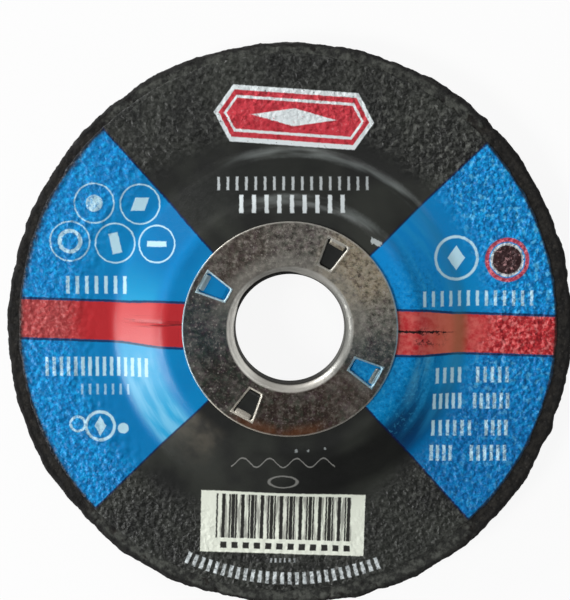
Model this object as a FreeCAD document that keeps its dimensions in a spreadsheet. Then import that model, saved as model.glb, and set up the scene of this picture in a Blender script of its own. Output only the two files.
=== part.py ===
import FreeCAD, Part
import math
import os
import re

import Sketcher


# Driving sizes: millimetres, or degrees and plain counts where the name says so
SIZES = {
    # Moulded wheel, whose middle stands proud of its back by the depth of the recess in its face
    "wheel_diameter": 115.0,
    "body_thickness": 6.3,
    "centre_offset": 4.6,
    # Shoulder between hub and rim: the ledge of hub left bare by the ring, then the slope's run
    "hub_ledge": 3.8,
    "shoulder_run": 10.5,
    "shoulder_wall": 6.3,
    "crown_bend_radius": 5.0,
    "foot_bend_radius": 5.0,
    "recess_corner_radius": 3.0,
    "recess_edge_radius": 6.0,
    "rim_back_chamfer": 0.7,
    "rim_face_chamfer": 0.4,
    # Printed paper on the back
    "label_thickness": 0.2,
    "bare_rim_width": 2.5,
    # Pressed steel ring, rolled over into a collar that lines the bore
    "bore_diameter": 22.23,
    "ring_thickness": 0.5,
    "ring_edge_chamfer": 0.25,
    "ring_margin": 1.85,
    "lip_radius": 2.0,
    "collar_setback": 0.5,
    "collar_clearance": 0.2,
    # Windows of the ring, each with a prong bent down from its outer edge
    "window_count": 4,
    "window_turn_degrees": 61.0,
    "window_setback": 1.285,
    "window_length": 5.5,
    "window_inner_width": 2.5,
    "window_outer_width": 4.3,
    "window_corner_radius": 0.35,
    "window_rim_chamfer": 0.2,
    "prong_bend_radius": 1.3,
    "prong_side_gap": 0.03,
    "prong_clearance": 0.1,
}

# Places that several pieces share, as formulas on the sizes, with Z up from the grinding face
RECESS_FLOOR = "centre_offset"
BACK_FACE = "body_thickness"
HUB_TOP = "(centre_offset + body_thickness)"
RING_SEAT = "(centre_offset + body_thickness + label_thickness)"
RING_TOP = "(centre_offset + body_thickness + label_thickness + ring_thickness)"
WHEEL_RADIUS = "wheel_diameter / 2"
BORE_RADIUS = "bore_diameter / 2"
LIP_EDGE = f"({BORE_RADIUS} + lip_radius)"
WINDOW_START = f"({LIP_EDGE} + window_setback)"
WINDOW_END = f"({WINDOW_START} + window_length)"
RING_RADIUS = f"({WINDOW_END} + ring_margin)"
HUB_RADIUS = f"({RING_RADIUS} + hub_ledge)"
FOOT_RADIUS = f"({HUB_RADIUS} + shoulder_run)"

# Slope of the shoulder, and how far its corners move for the recess below and the paper above
LEAN = "atan(centre_offset / shoulder_run)"
RECESS_SHIFT = f"(shoulder_wall - body_thickness * cos({LEAN})) / sin({LEAN})"
LABEL_SHIFT = f"label_thickness * tan({LEAN} / 2)"

# Bends that nothing shows are one flat each, which touches the bend's arc at its middle
CROWN_FLAT = f"crown_bend_radius * (tan({LEAN} / 2) - tan({LEAN} / 4))"
FOOT_FLAT = f"foot_bend_radius * (tan({LEAN} / 2) - tan({LEAN} / 4))"
COLLAR_FLAT = "(lip_radius - ring_thickness) * (2 - sqrt(2))"

# A prong is the metal of its window: what the bend takes up is gone from the leg below it, and its
# sides stand a gap inside the ends of the window's round outer corners
WINDOW_FLARE = "atan((window_outer_width - window_inner_width) / (2 * window_length))"
CORNER_REACH = f"window_corner_radius * tan(45 deg + {WINDOW_FLARE} / 2)"
PRONG_BACK = f"({WINDOW_END} - prong_bend_radius)"
PRONG_WIDTH = f"(window_outer_width - 2 * ({CORNER_REACH} + prong_side_gap))"
PRONG_TOP = f"({RING_TOP} - prong_bend_radius)"
PRONG_LEG = "(window_length - pi / 2 * (prong_bend_radius - ring_thickness / 2))"
PRONG_TIP = f"({PRONG_TOP} - {PRONG_LEG})"

document = FreeCAD.newDocument("grinding_disc")
sheet = document.addObject("Spreadsheet::Sheet", "Sizes")


def fill_sheet():
    """Writes each size into the sheet, with its name as the cell's alias."""
    for row, (name, size) in enumerate(SIZES.items(), start=1):
        sheet.set(f"A{row}", name)
        sheet.set(f"B{row}", str(size))
        sheet.setAlias(f"B{row}", name)
    document.recompute()


def number(formula):
    """Gives the value that a formula on the sizes has now."""
    return float(sheet.evalExpression(formula))


def bound(formula):
    """Gives the formula in the form that another object's expression needs."""
    names = "|".join(SIZES)
    return re.sub(rf"\b({names})\b", r"Sizes.\1", formula)


def tie(thing, path, formula):
    """Binds a property or a constraint of an object to a formula on the sizes."""
    thing.setExpression(path, bound(formula))


def origin_feature(body, role):
    """Finds one of a body's own origin planes or axes by its role."""
    return next(item for item in body.Origin.OriginFeatures if item.Role == role)


def sketch_on(body, name, plane):
    """Starts a sketch on one of the body's origin planes."""
    sketch = body.newObject("Sketcher::SketchObject", name)
    sketch.AttachmentSupport = (origin_feature(body, plane), "")
    sketch.MapMode = "FlatFace"
    return sketch


def hold(sketch, kind, *where, formula):
    """Adds a constraint whose size follows a formula."""
    index = sketch.addConstraint(Sketcher.Constraint(kind, *where, number(formula)))
    tie(sketch, f"Constraints[{index}]", formula)


def place_point(sketch, geometry, point, across, up):
    """Holds a point of the sketch at its two distances from the sketch's origin."""
    for kind, axis, formula in (("DistanceX", -2, across), ("DistanceY", -1, up)):
        if formula == "0":
            sketch.addConstraint(Sketcher.Constraint("PointOnObject", geometry, point, axis))
        else:
            hold(sketch, kind, -1, 1, geometry, point, formula=formula)


def corner_arc(before, corner, after, radius):
    """Works out the arc that rounds a corner, and whether the outline turns left there."""
    inward = (corner - before).normalize()
    outward = (after - corner).normalize()
    left = inward.cross(outward).z > 0
    reach = radius * math.tan(inward.getAngle(outward) / 2)
    entry, leave = corner - inward * reach, corner + outward * reach
    side = FreeCAD.Vector(-inward.y, inward.x, 0) * (1 if left else -1)
    centre = entry + side * radius
    ends = (entry, leave) if left else (leave, entry)
    angles = [math.atan2(end.y - centre.y, end.x - centre.x) for end in ends]
    if angles[1] < angles[0]:
        angles[1] += 2 * math.pi
    circle = Part.Circle(centre, FreeCAD.Vector(0, 0, 1), radius)
    return Part.ArcOfCircle(circle, *angles), entry, leave, left


def rounded_outline(sketch, corners):
    """Draws a closed outline through corners given as formulas: across, up and maybe a radius.

    A corner with a radius keeps its own place as a point where its two lines would meet, and an
    arc of that radius, tangent to both lines, runs between them.
    """
    places = [FreeCAD.Vector(number(corner[0]), number(corner[1]), 0) for corner in corners]
    entries, leaves, arcs = list(places), list(places), {}
    for index, (across, up, *radius) in enumerate(corners):
        if radius:
            after = places[(index + 1) % len(places)]
            arc, entries[index], leaves[index], left = corner_arc(
                places[index - 1], places[index], after, number(radius[0]))
            arcs[index] = (sketch.addGeometry(arc), left)
    lines = [sketch.addGeometry(Part.LineSegment(leave, entries[(index + 1) % len(places)]))
             for index, leave in enumerate(leaves)]
    for index, (across, up, *radius) in enumerate(corners):
        before, after = lines[index - 1], lines[index]
        if not radius:
            sketch.addConstraint(Sketcher.Constraint("Coincident", before, 2, after, 1))
            place_point(sketch, after, 1, across, up)
            continue
        arc, left = arcs[index]
        first, last = (1, 2) if left else (2, 1)
        sketch.addConstraint(Sketcher.Constraint("Tangent", before, 2, arc, first))
        sketch.addConstraint(Sketcher.Constraint("Tangent", arc, last, after, 1))
        hold(sketch, "Radius", arc, formula=radius[0])
        point = sketch.addGeometry(Part.Point(places[index]), True)
        sketch.addConstraint(Sketcher.Constraint("PointOnObject", point, 1, before))
        sketch.addConstraint(Sketcher.Constraint("PointOnObject", point, 1, after))
        place_point(sketch, point, 1, across, up)


def new_piece(name):
    """Starts a piece, turned so that its first window lies at its place round the bore."""
    body = document.addObject("PartDesign::Body", name)
    body.Label = name
    body.Placement.Rotation = FreeCAD.Rotation(FreeCAD.Vector(0, 0, 1), 0)
    tie(body, "Placement.Rotation.Angle", "window_turn_degrees")
    return body


def turned(body, name, corners):
    """Revolves a half section about the bore's axis."""
    section = sketch_on(body, f"{name}_section", "XZ_Plane")
    rounded_outline(section, corners)
    feature = body.newObject("PartDesign::Revolution", name)
    feature.Profile = section
    feature.ReferenceAxis = (section, ["V_Axis"])
    feature.Angle = 360
    return feature


def across_the_radius(body, kind, name, corners, width):
    """Pads or pockets a side profile, drawn along the radius, by a width centred on it."""
    profile = sketch_on(body, f"{name}_profile", "XZ_Plane")
    rounded_outline(profile, corners)
    feature = body.newObject(kind, name)
    feature.Profile = profile
    feature.SideType = "Symmetric"
    tie(feature, "Length", width)
    return feature


def through_the_sheet(body, name, corners):
    """Cuts a plan outline upwards through everything above the grinding face."""
    outline = sketch_on(body, f"{name}_outline", "XY_Plane")
    rounded_outline(outline, corners)
    feature = body.newObject("PartDesign::Pocket", name)
    feature.Profile = outline
    feature.Type = "ThroughAll"
    feature.Reversed = True
    return feature


def round_the_bore(body, name, features):
    """Repeats features evenly round the bore, once for each window."""
    pattern = body.newObject("PartDesign::PolarPattern", name)
    pattern.Originals = features
    pattern.Axis = (origin_feature(body, "Z_Axis"), [""])
    pattern.Angle = 360
    tie(pattern, "Occurrences", "window_count")
    body.Tip = pattern
    return pattern


def face_under_paper():
    """Lists the corners of the wheel's back that the paper lies on, from the rim to the hub."""
    return [
        (f"{FOOT_RADIUS} + {FOOT_FLAT}", BACK_FACE),
        (f"{FOOT_RADIUS} - {FOOT_FLAT} * cos({LEAN})", f"{BACK_FACE} + {FOOT_FLAT} * sin({LEAN})"),
        (f"{HUB_RADIUS} + {CROWN_FLAT} * cos({LEAN})", f"{HUB_TOP} - {CROWN_FLAT} * sin({LEAN})"),
        (f"{HUB_RADIUS} - {CROWN_FLAT}", HUB_TOP),
    ]


def make_grinding_body():
    """Moulded wheel of abrasive grain: one wall, dished round the centre, with slots for prongs."""
    body = new_piece("grinding_body")
    bore = f"({BORE_RADIUS} + ring_thickness + collar_clearance)"
    turned(body, "moulded_wheel", [
        (bore, RECESS_FLOOR),
        (f"{HUB_RADIUS} - {RECESS_SHIFT}", RECESS_FLOOR, "recess_corner_radius"),
        (f"{FOOT_RADIUS} - {RECESS_SHIFT}", "0", "recess_edge_radius"),
        (f"{WHEEL_RADIUS} - rim_face_chamfer", "0"),
        (WHEEL_RADIUS, "rim_face_chamfer"),
        (WHEEL_RADIUS, f"{BACK_FACE} - rim_back_chamfer"),
        (f"{WHEEL_RADIUS} - rim_back_chamfer", BACK_FACE),
        *face_under_paper(),
        (f"{bore} + {COLLAR_FLAT}", HUB_TOP),
        (bore, f"{HUB_TOP} - {COLLAR_FLAT}"),
    ])
    slot = across_the_radius(body, "PartDesign::Pocket", "prong_slot", [
        (f"{PRONG_BACK} - prong_clearance", RING_TOP),
        (f"{PRONG_BACK} - prong_clearance", f"{PRONG_TIP} - prong_clearance"),
        (f"{PRONG_BACK} + ring_thickness + prong_clearance", f"{PRONG_TIP} - prong_clearance"),
        (f"{PRONG_BACK} + ring_thickness + prong_clearance", f"{RING_SEAT} - prong_clearance",
         "prong_bend_radius - ring_thickness - prong_clearance"),
        (f"{WINDOW_END} + prong_clearance", f"{RING_SEAT} - prong_clearance"),
        (f"{WINDOW_END} + prong_clearance", RING_TOP),
    ], f"{PRONG_WIDTH} + 2 * prong_clearance")
    round_the_bore(body, "prong_slots", [slot])
    return body


def make_label():
    """Printed paper that lies on the whole back, over the shoulder and under the ring."""
    body = new_piece("label")
    hole = f"({LIP_EDGE} + collar_clearance)"
    edge = f"({WHEEL_RADIUS} - bare_rim_width)"
    upper_side = f"{BACK_FACE} + label_thickness"
    turned(body, "paper_disc", [
        (hole, HUB_TOP),
        *reversed(face_under_paper()),
        (edge, BACK_FACE),
        (edge, upper_side),
        (f"{FOOT_RADIUS} + {LABEL_SHIFT}", upper_side, "foot_bend_radius - label_thickness"),
        (f"{HUB_RADIUS} + {LABEL_SHIFT}", RING_SEAT, "crown_bend_radius + label_thickness"),
        (hole, RING_SEAT),
    ])
    half_width = f"({PRONG_WIDTH} / 2 + prong_clearance)"
    cut = through_the_sheet(body, "prong_cut", [
        (f"{PRONG_BACK} - prong_clearance", f"-{half_width}"),
        (WINDOW_END, f"-{half_width}"),
        (WINDOW_END, half_width),
        (f"{PRONG_BACK} - prong_clearance", half_width),
    ])
    round_the_bore(body, "prong_cuts", [cut])
    return body


def break_window_rims(body, windows):
    """Breaks the upper edge of each window, as the punch leaves it."""
    top = number(RING_TOP)
    rims = []
    for index, edge in enumerate(windows.Shape.Edges, start=1):
        flat_on_top = abs(edge.BoundBox.ZMin - top) + abs(edge.BoundBox.ZMax - top) < 1e-6
        beside_axis = math.hypot(edge.CenterOfMass.x, edge.CenterOfMass.y) > number(BORE_RADIUS)
        if flat_on_top and beside_axis:
            rims.append(f"Edge{index}")
    feature = body.newObject("PartDesign::Chamfer", "window_rims")
    feature.Base = (windows, rims)
    tie(feature, "Size", "window_rim_chamfer")
    return feature


def taper_prong(body):
    """Trims both sides of the prong's leg, so that it narrows to its tip."""
    sides = sketch_on(body, "prong_taper_sides", "YZ_Plane")
    tie(sides, "AttachmentOffset.Base.z", f"{PRONG_BACK} - ring_thickness")
    for sign in ("", "-"):
        rounded_outline(sides, [
            (f"{sign}{PRONG_WIDTH} / 2", PRONG_TOP),
            (f"{sign}{PRONG_WIDTH} / 2", PRONG_TIP),
            (f"{sign}window_inner_width / 2", PRONG_TIP),
        ])
    feature = body.newObject("PartDesign::Pocket", "prong_taper")
    feature.Profile = sides
    feature.Reversed = True
    tie(feature, "Length", "prong_bend_radius + ring_thickness")
    return feature


def make_hub_ring():
    """Pressed steel ring: flat flange, rolled lip, collar down the bore, windows and prongs."""
    body = new_piece("hub_ring")
    collar_end = f"{RECESS_FLOOR} + collar_setback"
    turned(body, "flange_and_collar", [
        (BORE_RADIUS, collar_end),
        (f"{BORE_RADIUS} + ring_thickness", collar_end),
        (f"{BORE_RADIUS} + ring_thickness", f"{RING_SEAT} - {COLLAR_FLAT}"),
        (f"{BORE_RADIUS} + ring_thickness + {COLLAR_FLAT}", RING_SEAT),
        (RING_RADIUS, RING_SEAT),
        (RING_RADIUS, f"{RING_TOP} - ring_edge_chamfer"),
        (f"{RING_RADIUS} - ring_edge_chamfer", RING_TOP),
        (BORE_RADIUS, RING_TOP, "lip_radius"),
    ])
    window = through_the_sheet(body, "window", [
        (WINDOW_START, "-window_inner_width / 2", "window_corner_radius"),
        (WINDOW_END, "-window_outer_width / 2", "window_corner_radius"),
        (WINDOW_END, "window_outer_width / 2", "window_corner_radius"),
        (WINDOW_START, "window_inner_width / 2", "window_corner_radius"),
    ])
    windows = round_the_bore(body, "windows", [window])
    document.recompute()
    break_window_rims(body, windows)
    prong = across_the_radius(body, "PartDesign::Pad", "prong", [
        (f"{WINDOW_END} + ring_thickness", RING_TOP),
        (PRONG_BACK, RING_TOP, "prong_bend_radius"),
        (PRONG_BACK, PRONG_TIP),
        (f"{PRONG_BACK} + ring_thickness", PRONG_TIP),
        (f"{PRONG_BACK} + ring_thickness", RING_SEAT, "prong_bend_radius - ring_thickness"),
        (f"{WINDOW_END} + ring_thickness", RING_SEAT),
    ], PRONG_WIDTH)
    round_the_bore(body, "prongs", [prong, taper_prong(body)])
    return body


def check_features():
    """Stops if anything failed to build, if a sketch is loose or if a cut removed nothing."""
    for item in document.Objects:
        if {"Invalid", "Error"} & set(item.State):
            raise RuntimeError(f"{item.Name} failed to build")
        if item.TypeId == "Sketcher::SketchObject" and not item.FullyConstrained:
            raise RuntimeError(f"{item.Name} is not fully held by its sizes")
        if item.TypeId == "PartDesign::Pocket" and not (
                item.Shape.Volume < item.BaseFeature.Shape.Volume):
            raise RuntimeError(f"{item.Name} cuts nothing")


def write_pieces(pieces):
    """Writes each piece's shape to its own file, after a look at all of them."""
    check_features()
    for piece in pieces:
        if piece.Shape.isNull() or not piece.Shape.isValid() or len(piece.Shape.Solids) != 1:
            raise RuntimeError(f"{piece.Label} is not one sound solid")
    os.makedirs("parts", exist_ok=True)
    for piece in pieces:
        piece.Shape.exportStep(f"parts/{piece.Label}.step")
        box = piece.Shape.optimalBoundingBox(True, False)
        print(f"{piece.Label}: {piece.Shape.Volume:.1f} mm3, {box.XLength:.2f} x"
              f" {box.YLength:.2f} x {box.ZLength:.2f} mm, from Z {box.ZMin:.2f}")


fill_sheet()
made = [make_grinding_body(), make_label(), make_hub_ring()]
document.recompute()
write_pieces(made)
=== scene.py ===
"""Depressed-centre grinding wheel: a dished disc of bonded grain, printed paper and a steel ring.

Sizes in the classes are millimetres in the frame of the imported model; meshes are in metres.
"""

import itertools
import logging
import math
from collections.abc import Callable, Sequence
from dataclasses import dataclass
from enum import Enum, IntEnum
from typing import Any, Union

import bpy
import numpy as np
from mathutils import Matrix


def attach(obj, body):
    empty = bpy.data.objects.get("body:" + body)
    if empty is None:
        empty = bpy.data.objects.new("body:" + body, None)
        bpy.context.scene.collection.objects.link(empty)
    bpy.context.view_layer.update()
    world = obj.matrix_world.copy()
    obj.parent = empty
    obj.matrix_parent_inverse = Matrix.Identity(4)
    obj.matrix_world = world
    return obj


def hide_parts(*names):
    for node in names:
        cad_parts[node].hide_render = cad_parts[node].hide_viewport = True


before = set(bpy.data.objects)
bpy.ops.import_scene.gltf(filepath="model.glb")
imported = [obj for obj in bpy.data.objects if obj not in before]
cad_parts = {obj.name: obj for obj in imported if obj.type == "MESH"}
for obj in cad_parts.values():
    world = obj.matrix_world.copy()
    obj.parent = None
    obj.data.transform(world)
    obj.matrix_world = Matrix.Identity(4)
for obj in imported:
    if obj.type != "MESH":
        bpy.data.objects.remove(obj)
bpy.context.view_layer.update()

MM = 0.001
TURN = 2 * math.pi
LOG = logging.getLogger("grinding_wheel")

Spot = tuple[float, float]


# Numbers ----------------------------------------------------------------------------------------

class Seed(IntEnum):
    """Fixed random patterns, one for each kind of roughness."""

    WHEEL_GRIT = 3
    WHEEL_LUMPS = 5
    RIM_FIRST = 11
    RIM_SECOND = 12
    RIM_THIRD = 13
    RIM_SLOW = 14
    PAPER_GRIT = 21
    PAPER_LUMPS = 22
    PAPER_SWELL = 23
    EDGE_FINE = 24
    EDGE_BROAD = 25
    NET = 31
    STEEL_BROAD = 41
    STEEL_FINE = 42


def smooth(low: float, high: float, value: np.ndarray) -> np.ndarray:
    """Rises from 0 at low to 1 at high along the cubic 3t^2 - 2t^3; falls where low is larger."""
    part = np.clip((value - low) / (high - low), 0, 1)
    return part * part * (3 - 2 * part)


def bell(value: np.ndarray, middle: float, width: float) -> np.ndarray:
    """Bell curve exp(-t^2), 1 in its middle, with t in units of its width."""
    return np.exp(-((value - middle) / width) ** 2)


def scatter(cells: np.ndarray, seed: int) -> np.ndarray:
    """Gives each whole-numbered cell its own fixed random number.

    Args:
        cells: whole numbers, three in the last axis.
        seed: picks one of many unlike sets of numbers.

    Returns:
        Numbers from 0 to 1, by mixing the bits of the three coordinates.
    """
    primes = np.array([73856093, 19349663, 83492791], dtype=np.int64)
    mixed = (cells.astype(np.int64) * primes).sum(-1) + seed * 2654435761
    mixed = (mixed & 0xFFFFFFFF).astype(np.uint64)
    for shift, factor in ((16, 0x45D9F3B), (16, 0x45D9F3B), (16, 1)):
        mixed = ((mixed ^ (mixed >> np.uint64(shift))) * np.uint64(factor)) & np.uint64(0xFFFFFFFF)
    return mixed / float(0xFFFFFFFF)


def lattice_noise(places: np.ndarray, cell: float, seed: int) -> np.ndarray:
    """Soft noise: random numbers at the corners of cubes, blended smoothly between the corners.

    Args:
        places: points in millimetres, three numbers in the last axis.
        cell: edge of a cube in millimetres, about the width of one swell.
        seed: picks the pattern.

    Returns:
        Numbers from -1 to 1.
    """
    grid = places / cell
    low = np.floor(grid).astype(np.int64)
    part = smooth(0, 1, grid - low)
    total = np.zeros(places.shape[:-1])
    for corner in itertools.product((0, 1), repeat=3):
        weight = np.prod(np.where(np.array(corner) == 1, part, 1 - part), axis=-1)
        total += weight * scatter(low + np.array(corner), seed)
    return 2 * total - 1


def grit_noise(places: np.ndarray, cell: float, seed: int) -> np.ndarray:
    """Rounded grains: one less the distance, in cells, to the nearest of points strewn in cubes.

    Args:
        places: points in millimetres, three numbers in the last axis.
        cell: mean distance between grains in millimetres.
        seed: picks the pattern.

    Returns:
        Numbers from about -0.3 in the grooves to 1 on the grains.
    """
    grid = places / cell
    low = np.floor(grid).astype(np.int64)
    nearest = np.full(places.shape[:-1], np.inf)
    for step in itertools.product((-1, 0, 1), repeat=3):
        cells = low + np.array(step)
        strewn = cells + np.stack([scatter(cells, seed + axis) for axis in range(3)], axis=-1)
        nearest = np.minimum(nearest, np.linalg.norm(strewn - grid, axis=-1))
    return 1 - nearest


# Meshes -----------------------------------------------------------------------------------------

def spaced(stations: Sequence[float], counts: Sequence[int]) -> np.ndarray:
    """Even steps from each station to the next, up or down, without the last station.

    Args:
        stations: numbers in order.
        counts: how many steps each gap between two stations gets.

    Returns:
        All the numbers in one row.
    """
    return np.concatenate([np.linspace(low, high, count, endpoint=False)
                           for low, high, count in zip(stations, stations[1:], counts)])


def rows(across: Any, up: Any) -> np.ndarray:
    """Rows of distance from the axis and height, where a single number holds for every row."""
    return np.stack(np.broadcast_arrays(across, up), axis=1)


def arc(centre: Spot, radius: float, start: float, end: float, count: int) -> np.ndarray:
    """Points on a circle's arc in the section's plane.

    Args:
        centre: distance from the axis and height of the circle's middle.
        radius: the circle's radius.
        start: first angle in degrees, from outwards towards up.
        end: last angle in degrees, which is left out.
        count: number of points.

    Returns:
        Rows of distance from the axis and height.
    """
    angles = np.radians(np.linspace(start, end, count, endpoint=False))
    return rows(centre[0] + radius * np.cos(angles), centre[1] + radius * np.sin(angles))


def revolved(section: np.ndarray, angles: np.ndarray) -> np.ndarray:
    """Carries a half section round the axis: (r, z) goes to (r cos a, r sin a, z).

    Args:
        section: rows of distance from the axis and height, in order along the section.
        angles: bearings in radians, in order.

    Returns:
        Points on a grid: bearing, place in the section, three coordinates.
    """
    radius, height = section.T[:, None]
    bearing = angles[:, None]
    return np.stack([radius * np.cos(bearing), radius * np.sin(bearing),
                     np.broadcast_to(height, (len(angles), len(section)))], axis=-1)


def round_turn(count: int) -> np.ndarray:
    """Even bearings of one whole turn, in radians."""
    return np.linspace(0, TURN, count, endpoint=False)


def from_axis(points: np.ndarray) -> np.ndarray:
    """Distance of each point from the axis."""
    return np.hypot(points[..., 0], points[..., 1])


def unit(vectors: np.ndarray) -> np.ndarray:
    """Vectors of length 1 in the same directions."""
    return vectors / np.maximum(np.linalg.norm(vectors, axis=-1, keepdims=True), 1e-9)


def outward(grid: np.ndarray) -> np.ndarray:
    """Unit normals of a grid that closes both ways.

    Args:
        grid: points, numbered round the axis and then along the section.

    Returns:
        The cross product of the two central differences at each point, made a unit vector.
    """
    around = np.roll(grid, -1, axis=0) - np.roll(grid, 1, axis=0)
    along = np.roll(grid, -1, axis=1) - np.roll(grid, 1, axis=1)
    return unit(np.cross(along, around))


def grid_faces(count: int, columns: int, wrap_rows: bool = True,
               wrap_columns: bool = True) -> np.ndarray:
    """Quads of a grid of points that are numbered row by row.

    Args:
        count: number of rows.
        columns: number of points in a row.
        wrap_rows: whether the last row joins the first one.
        wrap_columns: whether each row's last point joins its first one.

    Returns:
        Four point numbers for each quad.
    """
    row = np.arange(count if wrap_rows else count - 1)[:, None]
    column = np.arange(columns if wrap_columns else columns - 1)[None]
    next_row, next_column = (row + 1) % count, (column + 1) % columns
    corners = [row * columns + column, row * columns + next_column,
               next_row * columns + next_column, next_row * columns + column]
    return np.stack(np.broadcast_arrays(*corners), axis=-1).reshape(-1, 4)


def welded(points: np.ndarray, faces: np.ndarray) -> tuple[np.ndarray, np.ndarray]:
    """Makes points that share a place, to a ten-thousandth of a millimetre, into one point."""
    _, kept, index = np.unique(np.round(points, 4), axis=0, return_index=True, return_inverse=True)
    return points[kept], index.reshape(-1)[faces]


def mesh_of(name: str, points: np.ndarray, faces: np.ndarray) -> bpy.types.Mesh:
    """Writes points and quads into a smooth-shaded mesh.

    Args:
        name: name of the mesh.
        points: places in millimetres, which the mesh takes in metres.
        faces: four point numbers for each quad.

    Returns:
        The mesh.
    """
    mesh = bpy.data.meshes.new(name)
    mesh.vertices.add(len(points))
    mesh.vertices.foreach_set("co", (points.reshape(-1) * MM).astype(np.float32))
    mesh.loops.add(faces.size)
    mesh.loops.foreach_set("vertex_index", faces.reshape(-1).astype(np.int32))
    mesh.polygons.add(len(faces))
    mesh.polygons.foreach_set("loop_start", (np.arange(len(faces)) * 4).astype(np.int32))
    mesh.update(calc_edges=True)
    mesh.validate()
    mesh.polygons.foreach_set("use_smooth", np.ones(len(mesh.polygons), dtype=bool))
    return mesh


def linked(name: str, data: Any) -> bpy.types.Object:
    """Puts a mesh, a lamp or a camera into the scene.

    Args:
        name: name of the object.
        data: what the object holds.

    Returns:
        The object, at the origin.
    """
    thing = bpy.data.objects.new(name, data)
    bpy.context.scene.collection.objects.link(thing)
    return thing


def piece_of(name: str, points: np.ndarray, faces: np.ndarray) -> bpy.types.Object:
    """Makes points in millimetres and quads a piece at the origin."""
    return linked(name, mesh_of(name, points.reshape(-1, 3), faces))


# Shader maths -----------------------------------------------------------------------------------

Number = Union[float, "Wire"]
Colour = Union[tuple[float, float, float, float], Enum, "Wire"]
Coat = tuple[Colour, Number]


class Wire:
    """One output socket of a material, on which Python's operators add Math nodes."""

    def __init__(self, paint: "Paint", socket: bpy.types.NodeSocket) -> None:
        """Holds a socket and the paint that its nodes are in."""
        self.paint, self.socket = paint, socket

    def math(self, operation: str, *others: Number) -> "Wire":
        """Adds a Math node of this operation on this socket and the others."""
        return self.paint.math(operation, self, *others)

    def __add__(self, other: Number) -> "Wire":
        """Sum."""
        return self.math("ADD", other)

    def __sub__(self, other: Number) -> "Wire":
        """Difference."""
        return self.math("SUBTRACT", other)

    def __rsub__(self, other: Number) -> "Wire":
        """Difference, with this socket on the right."""
        return self.paint.math("SUBTRACT", other, self)

    def __mul__(self, other: Number) -> "Wire":
        """Product."""
        return self.math("MULTIPLY", other)

    def __truediv__(self, other: Number) -> "Wire":
        """Quotient."""
        return self.math("DIVIDE", other)

    def __neg__(self) -> "Wire":
        """Opposite number."""
        return self.math("MULTIPLY", -1.0)

    def __abs__(self) -> "Wire":
        """Size without sign."""
        return self.math("ABSOLUTE")

    def __and__(self, other: Number) -> "Wire":
        """Smaller of the two: where both masks hold."""
        return self.math("MINIMUM", other)

    def __or__(self, other: Number) -> "Wire":
        """Larger of the two: where either mask holds."""
        return self.math("MAXIMUM", other)

    __radd__ = __add__
    __rmul__ = __mul__


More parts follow.
